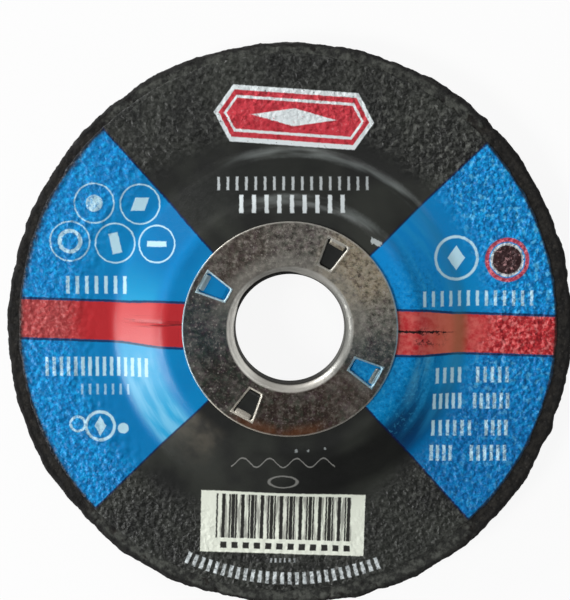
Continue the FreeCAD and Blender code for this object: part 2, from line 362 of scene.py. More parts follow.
class Paint:
    """The node tree of one material, with places read from Object coordinates in millimetres."""

    tree: bpy.types.NodeTree

    @classmethod
    def on(cls, tree: bpy.types.NodeTree) -> "Paint":
        """Works on a tree that is no material's.

        Args:
            tree: the nodes, such as the world's.

        Returns:
            A paint that makes nodes there but knows no places.
        """
        paint = cls.__new__(cls)
        paint.tree = tree
        return paint

    def __init__(self, name: str) -> None:
        """Makes a material with its places.

        Args:
            name: name of the material.
        """
        self.material = bpy.data.materials.new(name)
        self.material.use_nodes = True
        self.tree = self.material.node_tree
        self.shader = next(node for node in self.tree.nodes if node.type == "BSDF_PRINCIPLED")
        place = self.node("ShaderNodeTexCoord", output="Object")
        self.place = self.node("ShaderNodeVectorMath", {"operation": "SCALE"},
                               {"Vector": place, "Scale": 1 / MM})
        self.across, self.up, self.height = self.parts(self.place)
        self.radius = self.length(self.across, self.up)

    def node(self, kind: str, settings: dict[str, Any] | None = None,
             sockets: dict[str | int, Any] | None = None, output: str = "") -> Wire:
        """Adds any node.

        Args:
            kind: the node's type.
            settings: its settings, such as an operation, which are set first.
            sockets: values or wires for its sockets, by name or number.
            output: name of the output that is wanted, where it isn't the first one.

        Returns:
            The output as a wire.
        """
        made = self.tree.nodes.new(kind)
        for name, value in (settings or {}).items():
            setattr(made, name, value)
        for name, value in (sockets or {}).items():
            socket = made.inputs[name] if isinstance(name, int) else next(
                entry for entry in made.inputs if entry.name == name and entry.enabled)
            self.feed(socket, value)
        return Wire(self, next(entry for entry in made.outputs
                               if entry.enabled and output in ("", entry.name)))

    def feed(self, socket: bpy.types.NodeSocket, value: Any) -> None:
        """Gives a socket its input.

        Args:
            socket: the input socket.
            value: a wire to link, a value, or a named colour.
        """
        if isinstance(value, Wire):
            self.tree.links.new(value.socket, socket)
        else:
            socket.default_value = value.value if isinstance(value, Enum) else value

    def math(self, operation: str, *values: Number) -> Wire:
        """Adds a Math node of an operation on one to three values."""
        return self.node("ShaderNodeMath", {"operation": operation}, dict(enumerate(values)))

    def between(self, low: float, high: float, value: Number, start: float = 0.0,
                end: float = 1.0) -> Wire:
        """Goes smoothly from one number to another.

        Args:
            low: value at which the result is start, which may be the larger of the two.
            high: value at which the result is end.
            value: what is looked at.
            start: result at low and beyond.
            end: result at high and beyond.

        Returns:
            The result.
        """
        if low > high:
            low, high, start, end = high, low, end, start
        return self.node("ShaderNodeMapRange", {"interpolation_type": "SMOOTHSTEP"},
                         {"Value": value, "From Min": low, "From Max": high,
                          "To Min": start, "To Max": end}, output="Result")

    def belt(self, value: Wire, rise: Spot, fall: Spot) -> Wire:
        """Mask that rises from 0 to 1 over one span of a value and falls to 0 over another."""
        return self.between(*rise, value) * self.between(*fall, value, 1.0, 0.0)

    def blend(self, first: Colour, second: Colour, share: Number) -> Wire:
        """Mixes two colours, with the second's share from 0 to 1."""
        return self.node("ShaderNodeMix", {"data_type": "RGBA"},
                         {"Factor": share, "A": first, "B": second})

    def coats(self, base: Colour, *coats: Coat) -> Colour:
        """Lays colours over a base, one after another.

        Args:
            base: colour underneath.
            coats: each colour with its share from 0 to 1, in order.

        Returns:
            The mixed colour.
        """
        for colour, share in coats:
            base = self.blend(base, colour, share)
        return base

    def noise(self, size: float, detail: float = 2.0, roughness: float = 0.5,
              place: Wire | None = None, swirl: float = 0.0) -> Wire:
        """Soft noise about 0.5.

        Args:
            size: width of a swell in millimetres.
            detail: number of finer layers.
            roughness: strength of each finer layer.
            place: where it is read, if not at the material's own place.
            swirl: how much the pattern is bent by itself.

        Returns:
            Numbers mostly from 0.25 to 0.75.
        """
        return self.node("ShaderNodeTexNoise", {}, {
            "Vector": place or self.place, "Scale": 1 / size, "Detail": detail,
            "Roughness": roughness, "Distortion": swirl}, output="Fac")

    def joined(self, *parts: Number) -> Wire:
        """Makes a vector of two or three numbers."""
        return self.node("ShaderNodeCombineXYZ", {}, dict(zip("XYZ", parts)))

    def parts(self, vector: Wire) -> tuple[Wire, ...]:
        """Takes a vector apart into its three numbers."""
        return tuple(self.node("ShaderNodeSeparateXYZ", {}, {"Vector": vector}, output=axis)
                     for axis in "XYZ")

    def cells(self, size: float) -> Wire:
        """Distance to the nearest of strewn points, in cells of a size in millimetres."""
        return self.node("ShaderNodeTexVoronoi", {}, {"Vector": self.place, "Scale": 1 / size},
                         output="Distance")

    def length(self, across: Wire, up: Wire) -> Wire:
        """Length of a flat vector."""
        return (across * across + up * up).math("SQRT")

    def facing(self, bearing: float, half: float) -> Wire:
        """Mask of a wedge round the axis.

        Args:
            bearing: direction of its middle in degrees, from right towards up.
            half: degrees to each side at which it has faded out.

        Returns:
            1 within about a third of the half width, down to 0 at its end.
        """
        turn = math.radians(bearing)
        toward = (self.across * math.cos(turn) + self.up * math.sin(turn)) / self.radius
        full = half * 0.35
        return self.between(math.cos(math.radians(half)), math.cos(math.radians(full)), toward)

    def rays(self) -> tuple[Wire, Wire]:
        """Light Path's mask of camera rays, and that of camera, glossy and transmission rays."""
        camera, glossy, through = (self.node("ShaderNodeLightPath", output=f"Is {kind} Ray")
                                   for kind in ("Camera", "Glossy", "Transmission"))
        return camera, camera | glossy | through

    def finish(self, colour: Colour, roughness: Number, bumps: list[tuple[Wire, float]],
               constants: dict[str, Any] | None = None) -> bpy.types.Material:
        """Feeds the shader.

        Args:
            colour: base colour.
            roughness: roughness.
            bumps: heights and the distance in millimetres that each stands for.
            constants: values set on the shader's own sockets.

        Returns:
            The finished material.
        """
        inputs = {"Base Color": colour, "Roughness": roughness, **(constants or {})}
        for height, distance in bumps:
            below = {"Normal": inputs["Normal"]} if "Normal" in inputs else {}
            inputs["Normal"] = self.node("ShaderNodeBump", {}, {
                "Height": height, "Distance": distance * MM, "Strength": 1.0, **below},
                output="Normal")
        for name, value in inputs.items():
            self.feed(self.shader.inputs[name], value)
        return self.material


def tone(red: int, green: int, blue: int) -> tuple[float, float, float, float]:
    """Turns a colour as a screen shows it, 0 to 255, into the linear one that shaders use."""
    parts = [value / 255 for value in (red, green, blue)]
    return (*(part / 12.92 if part <= 0.04045 else ((part + 0.055) / 1.055) ** 2.4
              for part in parts), 1.0)


# The wheel's section ----------------------------------------------------------------------------

@dataclass(frozen=True)
class WheelSection:
    """Sizes that the wheel, its paper and its ring share, and the height of its two sides."""

    wheel_radius: float = 57.5
    back_height: float = 6.3
    hub_height: float = 10.9
    recess_depth: float = 4.6
    crown_radius: float = 25.55
    foot_radius: float = 36.05
    bend_radius: float = 5.0
    recess_crown_radius: float = 24.23
    recess_foot_radius: float = 34.73
    recess_corner_bend: float = 3.0
    recess_edge_bend: float = 6.0
    bore_radius: float = 11.115
    paper_thickness: float = 0.2
    paper_shift: Spot = (-0.45, 0.25)
    panel_place: Spot = (-1.55, -40.6)
    net_pitch: float = 5.2
    window_turn: float = 61.0

    @property
    def lean(self) -> float:
        """Angle of the shoulder from level."""
        return math.atan2(self.hub_height - self.back_height, self.foot_radius - self.crown_radius)

    def bent(self, radius: np.ndarray, crown: float, foot: float, rise: float,
             crown_bend: float, foot_bend: float) -> np.ndarray:
        """Height of two levels joined by a slope, with an arc tangent to both at each corner.

        Args:
            radius: distances from the axis.
            crown: where the upper level would meet the slope.
            foot: where the slope would meet the lower level, at height 0.
            rise: height of the upper level.
            crown_bend: radius of the upper arc.
            foot_bend: radius of the lower arc.

        Returns:
            Heights.
        """
        reach_up, reach_down = (bend * math.tan(self.lean / 2) for bend in (crown_bend, foot_bend))
        slope = (foot - radius) * math.tan(self.lean)
        from_crown, from_foot = radius - crown + reach_up, radius - foot - reach_down
        crown_arc = rise - crown_bend + np.sqrt(np.maximum(crown_bend ** 2 - from_crown ** 2, 0))
        foot_arc = foot_bend - np.sqrt(np.maximum(foot_bend ** 2 - from_foot ** 2, 0))
        slope_start = crown + reach_up * math.cos(self.lean)
        slope_end = foot - reach_down * math.cos(self.lean)
        return np.select([radius < crown - reach_up, radius < slope_start, radius < slope_end,
                          radius < foot + reach_down], [rise, crown_arc, slope, foot_arc], 0)

    def back(self, radius: np.ndarray) -> np.ndarray:
        """Height of the moulded back, under the paper."""
        return self.back_height + self.bent(radius, self.crown_radius, self.foot_radius,
                                            self.recess_depth, self.bend_radius, self.bend_radius)

    def face(self, radius: np.ndarray) -> np.ndarray:
        """Height of the grinding face and of the recess in it."""
        return self.bent(radius, self.recess_crown_radius, self.recess_foot_radius,
                         self.recess_depth, self.recess_corner_bend, self.recess_edge_bend)


SECTION = WheelSection()


@dataclass(frozen=True)
class RimWander:
    """How the moulded rim strays in and out: broad swells and four layers of noise."""

    offset: float = 0.15
    # Bearing, half width and height of each swell
    swells: tuple[tuple[float, float, float], ...] = (
        (42.0, 18.0, 0.4), (214.0, 12.0, 0.5), (242.0, 14.0, 0.35), (304.0, 14.0, 0.6),
        (328.0, 7.0, 0.5))
    # Cell, height and pattern of each layer
    layers: tuple[tuple[float, float, Seed], ...] = (
        (17.0, 0.18, Seed.RIM_SLOW), (7.0, 0.27, Seed.RIM_FIRST), (3.1, 0.25, Seed.RIM_SECOND),
        (1.5, 0.13, Seed.RIM_THIRD))

    def at(self, places: np.ndarray) -> np.ndarray:
        """How far the rim strays.

        Args:
            places: points in millimetres, three numbers in the last axis.

        Returns:
            Millimetres, more than 0 outwards: bell curves over the bearing and noise.
        """
        bearing = np.degrees(np.arctan2(places[..., 1], places[..., 0]))
        shift = self.offset + sum(height * bell((bearing - middle + 180) % 360, 180, width)
                                  for middle, width, height in self.swells)
        for cell, height, seed in self.layers:
            shift = shift + height * lattice_noise(places, cell, seed)
        return shift


# Finishes ---------------------------------------------------------------------------------------

class Stone(Enum):
    """Colours of the bonded grain."""

    RESIN = tone(13, 12, 11)
    DUST = tone(40, 38, 35)
    GRAIN = tone(70, 67, 62)
    BACK_DARK = tone(34, 35, 33)
    BACK_PALE = tone(82, 84, 79)
    BRINK = tone(9, 8, 8)
    THREAD = tone(112, 104, 88)


@dataclass(frozen=True)
class AbrasiveFinish:
    """Dark grain in resin: speckled brown-black, with the net's pale threads on the face."""

    grain: float = 0.9
    thread_width: float = 1.5
    thread_fade: float = 0.35
    thread_phase: float = 200.0

    def make(self) -> bpy.types.Material:
        """Builds the material: speckled resin, a stained back, a dark brink and the threads.

        Returns:
            The finished material.
        """
        paint = Paint("bonded_abrasive")
        grains, mottle = paint.cells(self.grain), paint.noise(1.4, 3.0, 0.6)
        clumps = paint.between(0.35, 0.68, mottle)
        back = paint.between(6.1, 6.4, paint.height) * (
            paint.facing(88.0, 52.0) | paint.facing(268.0, 54.0))
        brink = paint.between(5.0, 5.9, paint.height) * paint.between(56.5, 57.2, paint.radius)
        under = paint.between(6.2, 5.4, paint.height) & paint.between(57.2, 56.6, paint.radius)
        base = paint.coats(
            Stone.RESIN,
            (Stone.DUST, clumps),
            (Stone.GRAIN, paint.between(0.34, 0.10, grains) * 0.3),
            (paint.blend(Stone.BACK_DARK, Stone.BACK_PALE, clumps), paint.between(0.1, 0.35, back)),
            (Stone.BRINK, brink * 0.75),
            (Stone.THREAD, self.threads(paint) * under * 0.6))
        return paint.finish(base, paint.between(0.3, 0.7, mottle, 0.72, 0.9),
                            [(paint.noise(0.5, 3.0, 0.65), 0.16), (grains, 0.10)],
                            {"Specular IOR Level": 0.28})

    def threads(self, paint: Paint) -> Wire:
        """Mask of the net's two crossing sets of threads, strayed a little by noise.

        Args:
            paint: the material that it is for.

        Returns:
            1 on a thread.
        """
        stray = (paint.noise(9.0, 1.0) - 0.5) * 1.6
        across, up = (paint.math("PINGPONG", axis + stray + self.thread_phase,
                                 SECTION.net_pitch / 2) for axis in (paint.across, paint.up))
        half = self.thread_width / 2
        return paint.between(half, half - self.thread_fade, across & up)


class Steel(Enum):
    """Colours of the pressed ring."""

    PATINA = tone(84, 82, 78)
    SLATE = tone(54, 64, 68)
    OLIVE = tone(58, 55, 50)
    TAUPE = tone(96, 86, 79)
    ASH = tone(114, 110, 104)
    TAN = tone(176, 163, 139)
    PEWTER = tone(126, 126, 119)
    BLUE_GREY = tone(64, 73, 76)
    BROWN = tone(80, 68, 61)
    DARK_BROWN = tone(62, 51, 45)
    CLOUD = tone(150, 147, 140)
    SHEEN = tone(180, 174, 164)
    SHADOW = tone(36, 32, 30)
    VIOLET = tone(96, 66, 84)
    GREEN = tone(70, 98, 78)
    RUST = tone(44, 30, 24)
    SILVER = tone(186, 182, 172)
    SOOT = tone(34, 30, 28)
    SPECK = tone(200, 197, 188)
    ORANGE = tone(106, 64, 38)
    PALE = tone(150, 148, 140)
    WORN = tone(180, 178, 170)
    WORN_LIT_LEFT = tone(232, 226, 212)
    BLUE_REFLECTION = tone(132, 200, 230)
    LIP_LEFT = tone(255, 253, 245)
    LIP_RIGHT = tone(128, 128, 124)
    LIP_TOP = tone(168, 166, 160)
    LIP_BOTTOM = tone(186, 183, 176)
    COLLAR_SHADE = tone(26, 25, 23)
    THROAT_SHADOW = tone(8, 8, 7)


@dataclass(frozen=True)
class SteelFinish:
    """Stained pressed steel: grey-brown patina with dark pits and painted reflections, brighter on
    lip and worn edges, partly by painted highlights.
    """

    # Bearing and half width in degrees, colour and share of each stain; the stains also stand for
    # painted reflections
    stains_and_reflections: tuple[tuple[float, float, Steel, float], ...] = (
        (188.0, 60.0, Steel.SLATE, 0.9), (226.0, 36.0, Steel.OLIVE, 0.8),
        (118.0, 50.0, Steel.TAUPE, 0.8), (82.0, 30.0, Steel.ASH, 0.8),
        (38.0, 36.0, Steel.TAN, 0.9), (2.0, 26.0, Steel.PEWTER, 0.75),
        (-22.0, 24.0, Steel.BLUE_GREY, 0.8), (-56.0, 32.0, Steel.BROWN, 0.85),
        (-92.0, 38.0, Steel.DARK_BROWN, 0.9))

    def window_gap(self, paint: Paint) -> Wire:
        """Distance outside the nearest window, with the four windows folded into one.

        Args:
            paint: the material that it is for.

        Returns:
            Millimetres, less than 0 in the window.
        """
        quarter = math.pi / 2
        angle = paint.math("ARCTAN2", paint.up, paint.across) - math.radians(SECTION.window_turn)
        folded = (angle + 4 * quarter + quarter / 2).math("MODULO", quarter) - quarter / 2
        along, aside = paint.radius * folded.math("COSINE"), abs(paint.radius * folded.math("SINE"))
        widening = (HubRing.outer_width - HubRing.inner_width) / 2
        flare = widening / (HubRing.window_end - HubRing.window_start)
        half = (along - HubRing.window_start) * flare + HubRing.inner_width / 2
        return (aside - half) | (along - HubRing.window_end) | (HubRing.window_start - along)

    def patina(self, paint: Paint) -> Colour:
        """Stains and painted reflections by bearing: slate on the left, tan at the upper right,
        brown at the bottom.
        """
        return paint.coats(Steel.PATINA, *((stain, paint.facing(bearing, half) * share)
                                           for bearing, half, stain, share in self.stains_and_reflections))

    def worn_and_lit_edges(self, paint: Paint) -> Coat:
        """Bright worn metal round the windows and at the ring's outer edge, with a painted
        highlight and a painted blue reflection.

        Args:
            paint: the material that it is for.

        Returns:
            Its colour and its share.
        """
        left, gap = paint.facing(190.0, 80.0), self.window_gap(paint)
        # Painted reflection of the blue print at the left and right
        mirrored_blue = (paint.facing(180.0, 46.0) | paint.facing(0.0, 46.0)) * 0.6
        shine = paint.coats(Steel.WORN, (Steel.WORN_LIT_LEFT, left),
                            (Steel.BLUE_REFLECTION, paint.between(0.0, 0.25, mirrored_blue) * 0.55))
        # Wear round the windows, made brighter on the left by a painted highlight
        worn = paint.between(0.52, 0.28, gap) * (
            paint.between(-0.42, -0.12, gap) | (left * 0.9 + 0.1))
        return shine, (worn * 0.9) | (paint.between(21.3, 21.62, paint.radius) * 0.65)

    def make(self) -> bpy.types.Material:
        """Builds the material: patina, mottle, rust, specks, worn edges, painted reflections,
        painted lip highlight and painted collar shade.

        Returns:
            The finished material.
        """
        paint = Paint("pressed_steel")
        radius, height = paint.radius, paint.height
        broad, middle = paint.noise(4.2), paint.noise(1.3, 3.0, 0.65)
        fine = paint.noise(0.42, 2.0, 0.6)
        tint = paint.noise(1.1, 2.0, 0.6, place=paint.joined(paint.up, paint.across, 7.0))
        clear = paint.facing(60.0, 100.0) * 0.6 + 0.4
        rusty = paint.belt(radius, (13.8, 16.4), (19.0, 22.0)) * (
            paint.facing(128.0, 46.0) | (paint.facing(228.0, 34.0) * 0.8))
        pits = paint.between(0.50, 0.62, fine) * paint.between(0.62, 0.42, middle)
        specks = paint.between(0.34, 0.12, paint.cells(0.8)) * paint.between(0.44, 0.56, tint)
        silvery = (clear * 0.3) | (paint.facing(200.0, 75.0) * 0.34)
        orange = paint.facing(-96.0, 34.0) * paint.between(18.6, 20.8, radius)
        pale = paint.between(16.6, 14.2, radius) * (
            paint.facing(120.0, 60.0) | paint.facing(40.0, 70.0))
        lip = paint.between(12.95, 12.45, radius)
        # Painted highlight on the lip: brightest on the left, dimmer to the right, top and bottom
        lip_highlight = paint.coats(Steel.LIP_LEFT, (Steel.LIP_RIGHT, paint.facing(10.0, 95.0)),
                             (Steel.LIP_TOP, paint.facing(90.0, 60.0)),
                             (Steel.LIP_BOTTOM, paint.facing(-90.0, 50.0)))
        # Painted shade inside the collar, less of it on the right
        collar_shade = paint.between(10.95, 10.35, height)
        # Painted shadow: a dark crescent in the throat, widest at the upper left
        throat_shadow_edge = radius - 11.15 - paint.facing(120.0, 50.0) * 0.7
        throat = paint.between(0.12, -0.12, throat_shadow_edge) * paint.between(10.0, 10.3, height)
        base = paint.coats(
            # Patina with painted reflections by bearing
            self.patina(paint),
            (Steel.CLOUD, paint.between(0.46, 0.74, broad) * 0.28),
            (Steel.SHEEN, paint.between(0.46, 0.78, middle) * clear * 0.62),
            (Steel.SHADOW, paint.between(0.54, 0.26, middle) * (clear * 0.6 + 0.2)),
            (Steel.VIOLET, paint.between(0.52, 0.72, tint) * 0.28),
            (Steel.GREEN, paint.between(0.48, 0.28, tint) * 0.24),
            (Steel.RUST, pits * (rusty * 0.6 + 0.25)),
            (Steel.SILVER, paint.between(0.56, 0.70, fine) * clear * 0.42),
            (Steel.SOOT, paint.between(0.44, 0.30, fine) * (clear * 0.3 + 0.2)),
            (Steel.SPECK, specks * silvery),
            (Steel.ORANGE, orange * paint.between(0.2, 0.5, broad) * 0.7),
            (Steel.PALE, pale * 0.5),
            self.worn_and_lit_edges(paint),
            (lip_highlight, lip),
            (Steel.COLLAR_SHADE, collar_shade * (0.92 - paint.facing(0.0, 60.0) * 0.55)),
            (Steel.THROAT_SHADOW, throat))
        rough = paint.between(0.3, 0.7, middle, 0.40, 0.54) + pits * 0.2 + collar_shade * 0.5
        bumps = [(middle * (1 - lip), 0.035), (fine * (1 - lip), 0.025)]
        return paint.finish(base, rough, bumps, {"Metallic": 0.9})


class Blue(Enum):
    """Colours of the two blue sectors."""

    PLAIN = tone(0, 121, 184)
    DRIFT = tone(0, 130, 192)
    OVER_GRAIN = tone(0, 130, 208)
    LIGHT = tone(20, 182, 248)
    DARK = tone(0, 88, 142)
    GLINT = tone(104, 204, 248)
    SHADED_LOW_RIGHT = tone(0, 84, 150)
    SHADED = tone(0, 36, 78)
    SHADED_FOOT = tone(0, 80, 140)
    SHADED_SLOPE = tone(0, 96, 150)
    GLARE = tone(24, 168, 214)
    LIT_RIGHT = tone(0, 142, 218)
    SHEEN_STREAK = tone(28, 152, 212)
    DAPPLE_LIGHT = tone(64, 168, 214)
    DAPPLE_DARK = tone(0, 74, 124)
    GLEAM = tone(92, 176, 210)
    GLARE_STREAK = tone(150, 214, 240)
    VERGE_SHEEN = tone(70, 150, 172)


class Black(Enum):
    """Colours of the black ground."""

    PLAIN = tone(50, 52, 48)
    DRIFT = tone(34, 35, 34)
    LIGHT = tone(84, 86, 82)
    DARK = tone(28, 29, 27)
    GLINT = tone(118, 120, 114)
    SHADED = tone(18, 19, 18)
    SHADED_SLOPE = tone(26, 28, 26)
    HAZE = tone(100, 95, 84)


class Red(Enum):
    """Colours of the red band and of the other red shapes."""

    PLAIN = tone(184, 42, 48)
    LIGHT = tone(240, 128, 126)
    DARK = tone(134, 26, 34)
    GLINT = tone(246, 146, 144)
    DUSTY = tone(160, 92, 90)
    WASHED = tone(214, 112, 104)
    BROWN_SHEEN = tone(212, 116, 92)
    GLARE = tone(240, 126, 126)
    VERGE_SHEEN = tone(136, 98, 62)
    HEXAGON = tone(202, 58, 70)
    HEXAGON_LIGHT = tone(238, 150, 154)


class Ink(Enum):
    """Colours of lines, small shapes, wear and painted highlights."""

    NAVY = tone(14, 20, 66)
    TEAR = tone(30, 18, 20)
    PALE = tone(226, 234, 236)
    PALE_ON_BLUE = tone(198, 234, 244)
    ROUNDEL = tone(54, 34, 36)
    CHIP = tone(196, 150, 150)
    PANEL = tone(236, 241, 227)
    SMEAR = tone(132, 132, 126)
    BAR = tone(44, 44, 42)
    GREY = tone(140, 140, 136)
    RUBBED_AND_LIT = tone(176, 184, 182)
    SCUFF = tone(196, 204, 204)
    RIM = tone(30, 28, 25)
    CUT = tone(26, 24, 22)


class Flat:
    """Shapes in the plane of the print.

    A shape is the distance outside its outline in millimetres, so it is less than 0 within.
    """

    def __init__(self, paint: Paint) -> None:
        """Takes a material's places, and strays them a little.

        Args:
            paint: the material.
        """
        self.paint = paint
        # Ink edges stray by a few hundredths, as on paper pressed over grain
        stray = (paint.noise(0.8) - 0.5) * 0.30
        self.across, self.up = paint.across + stray, paint.up + stray * 0.7

    def soft(self, gap: Wire, width: float = 0.13) -> Wire:
        """Mask of a shape, with an edge that is soft over a width to each side."""
        return self.paint.between(width, -width, gap)

    def edge(self, angle: float, offset: float) -> Wire:
        """Distance to the right of a line that leaves the middle at an angle, less an offset."""
        turn = math.radians(angle)
        return self.across * math.sin(turn) - self.up * math.cos(turn) - offset

    def turned_at(self, place: Spot, angle: float) -> tuple[Wire, Wire]:
        """Coordinates in a turned frame.

        Args:
            place: origin of the frame.
            angle: its turn in degrees.

        Returns:
            Millimetres along the frame's first direction, and across it.
        """
        turn = math.radians(angle)
        across, up = self.across - place[0], self.up - place[1]
        return (across * math.cos(turn) + up * math.sin(turn),
                up * math.cos(turn) - across * math.sin(turn))

    def disc(self, place: Spot, radius: float) -> Wire:
        """A disc."""
        return self.paint.length(self.across - place[0], self.up - place[1]) - radius

    def ring(self, place: Spot, radius: float, width: float) -> Wire:
        """A ring's line."""
        return abs(self.disc(place, radius)) - width / 2

    def bar(self, place: Spot, size: Spot, angle: float = 0.0) -> Wire:
        """A rectangle."""
        along, aside = self.turned_at(place, angle)
        return (abs(along) - size[0] / 2) | (abs(aside) - size[1] / 2)

    def lozenge(self, place: Spot, size: Spot, angle: float = 0.0) -> Wire:
        """A lozenge, whose distance is taken along its shorter way."""
        along, aside = self.turned_at(place, angle)
        return (abs(along) * (size[1] / size[0]) + abs(aside) - size[1] / 2) * 0.9

    def ticks(self, along: Wire, aside: Wire, start: float, end: float, height: float,
              pitch: float, width: float) -> Wire:
        """A row of even upright ticks.

        Args:
            along: coordinate along the row.
            aside: coordinate across it, 0 in its middle.
            start: where the row starts.
            end: where it ends.
            height: height of a tick.
            pitch: rough distance from tick to tick, which is fitted to the row.
            width: width of a tick.

        Returns:
            The shape.
        """
        count = max(1, round((end - start) / pitch))
        step = (end - start) / count
        # A start far to the left keeps the folded number above 0
        phase = self.paint.math("PINGPONG", along - start + step * 400, step / 2)
        comb = step / 2 - phase - width / 2
        ends = abs(along - (start + end) / 2) - (end - start) / 2
        return comb | ends | (abs(aside) - height / 2)

    def row(self, start: float, end: float, up: float, height: float, pitch: float,
            width: float) -> Wire:
        """A level row of ticks, in the order of the tables' numbers."""
        return self.ticks(self.across, self.up - up, start, end, height, pitch, width)

    def together(self, *shapes: Wire) -> Wire:
        """Several shapes as one.

        Args:
            shapes: the shapes.

        Returns:
            Distance outside the nearest of them.
        """
        nearest = shapes[0]
        for shape in shapes[1:]:
            nearest = nearest & shape
        return nearest


class Ground(Flat):
    """The print's fields of colour: black ground, blue sectors and red band, with their grain."""

    band_turn: float = -1.95

    def __init__(self) -> None:
        """Works out the masks that several colours share.

        They are the grain's light and dark patches and its painted glints, the slope's painted
        shade and highlight, and the outlines of the sectors and the band.
        """
        super().__init__(Paint("printed_paper"))
        paint = self.paint
        reach = paint.facing(-34.0, 42.0) * 3.5 - paint.facing(180.0, 70.0) * 3.0
        self.grainy = paint.between(38.0, 44.5, paint.radius + reach)
        bearing = paint.math("ARCTAN2", self.up, self.across)
        self.wound = paint.joined(paint.radius, bearing * 5.0)
        self.worn = paint.between(0.66, 0.46, paint.noise(0.7, 3.0, 0.75))
        blotch, glint = paint.noise(0.75, 1.5, swirl=0.25), paint.noise(1.3, 1.5, 0.55, swirl=0.2)
        self.drift = paint.between(0.35, 0.65, paint.noise(11.0))
        self.light = paint.between(0.48, 0.68, blotch) * self.grainy
        self.dark = paint.between(0.52, 0.32, blotch) * self.grainy * (
            1 - paint.facing(158.0, 50.0) * 0.5)
        # Painted glints: pale highlights on the grain, strongest on the right
        self.glints = paint.between(0.55, 0.66, glint) * self.grainy * (
            paint.facing(12.0, 75.0) * 0.8 + 0.2)
        self.shoulder = paint.belt(paint.radius, (26.3, 28.6), (34.0, 36.2))
        # Painted shade on the slope's lower right, and a painted highlight on its lower left
        self.shaded = self.shoulder * paint.facing(302.0, 40.0)
        self.glare = self.shoulder * paint.facing(196.0, 44.0)
        right = self.edge(43.4, 0.18) & -self.edge(-48.3, -1.0)
        left = -self.edge(132.1, -1.0) & self.edge(224.3, 1.2)
        self.inside_sectors = right | left
        self.sector = self.soft(-self.inside_sectors)
        self.aside = self.turned_at((0.0, 0.05), self.band_turn)[1]
        self.band_gap = abs(self.aside) - paint.between(35.0, 26.0, paint.radius, 3.92, 4.4)
        self.band = self.soft(self.band_gap)

    def blue_field(self) -> Colour:
        """The blue sectors' colour, with its grain, painted glints, and painted light, shade, sheen
        and highlights on the slope.

        Returns:
            The colour.
        """
        paint, shoulder = self.paint, self.shoulder
        streaks, dapple = paint.noise(1.6, place=self.wound), paint.noise(0.8, 3.0, 0.65)
        # Foot of the slope off the grain, where painted shade darkens the lower right
        foot = paint.between(32.0, 35.0, paint.radius) * (1 - self.grainy)
        # Painted light on the flat beside the crown at the upper right
        level = paint.between(27.6, 25.4, paint.radius) * paint.facing(20.0, 46.0)
        inner = paint.facing(-18.0, 62.0) * paint.between(34.0, 28.0, paint.radius)
        # Painted highlights: a gleam along the crown on the right, and pale streaks on the
        # lower-left slope
        gleam = paint.between(2.0, 0.3, abs(paint.radius - 27.8)) * paint.facing(-15.0, 20.0)
        glare_streaks = shoulder * paint.facing(214.0, 28.0)
        return paint.coats(
            Blue.PLAIN,
            (Blue.DRIFT, self.drift),
            (Blue.OVER_GRAIN, self.grainy * 0.6),
            (Blue.LIGHT, self.light * 0.55),
            (Blue.DARK, self.dark * 0.6),
            (Blue.GLINT, self.glints * 0.55),
            # Painted shade: darker towards the lower right on the grain, on the slope and at its
            # foot, and darker on the upper-left slope
            (Blue.SHADED_LOW_RIGHT, self.grainy * paint.facing(-44.0, 46.0) * 0.42),
            (Blue.SHADED, self.shaded * 0.9),
            (Blue.SHADED_FOOT, foot * paint.facing(-44.0, 34.0) * 0.6),
            (Blue.SHADED_SLOPE, shoulder * paint.facing(148.0, 42.0) * 0.45),
            # Painted highlight on the lower-left slope, painted light on the upper-right slope, and
            # painted sheen in streaks across the right slope
            (Blue.GLARE, self.glare * 0.7),
            (Blue.LIT_RIGHT, (level | (shoulder * paint.facing(24.0, 34.0))) * 0.75),
            (Blue.SHEEN_STREAK, shoulder * paint.facing(6.0, 56.0)
             * paint.between(0.40, 0.66, streaks) * 0.7),
            (Blue.DAPPLE_LIGHT, inner * paint.between(0.52, 0.68, dapple) * 0.45),
            (Blue.DAPPLE_DARK, inner * paint.between(0.50, 0.34, dapple) * 0.5),
            # Painted highlights: the gleam and the streaks on the lower-left slope
            (Blue.GLEAM, gleam * paint.between(0.36, 0.62, streaks) * 0.5),
            (Blue.GLARE_STREAK, glare_streaks * paint.between(0.36, 0.70, streaks) * 0.42))

    def black_field(self) -> Colour:
        """The black ground's colour, with its grain, painted glints, painted shade on the slope and
        a haze on its lower left.

        Returns:
            The colour.
        """
        paint = self.paint
        haze = paint.belt(paint.radius, (23.5, 26.5), (29.0, 36.0)) * paint.facing(226.0, 15.0)
        return paint.coats(
            Black.PLAIN,
            (Black.DRIFT, self.drift),
            (Black.LIGHT, self.light * 0.45),
            (Black.DARK, self.dark * 0.5),
            (Black.GLINT, self.glints * 0.4),
            # Painted shade on the slope at the lower right and the upper left
            (Black.SHADED, self.shaded * 0.7),
            (Black.SHADED_SLOPE, self.shoulder * paint.facing(118.0, 60.0) * 0.75),
            (Black.HAZE, haze * paint.between(0.15, 0.8, paint.noise(3.2)) * 0.6))

    def red_band(self) -> Colour:
        """The band's colour, washed out on the right, with painted glints, a painted highlight and
        a brownish painted sheen on the slope.

        Returns:
            The colour.
        """
        paint = self.paint
        washed = paint.facing(0.0, 60.0) * paint.between(0.30, 0.66, paint.noise(1.6, 3.0, 0.6))
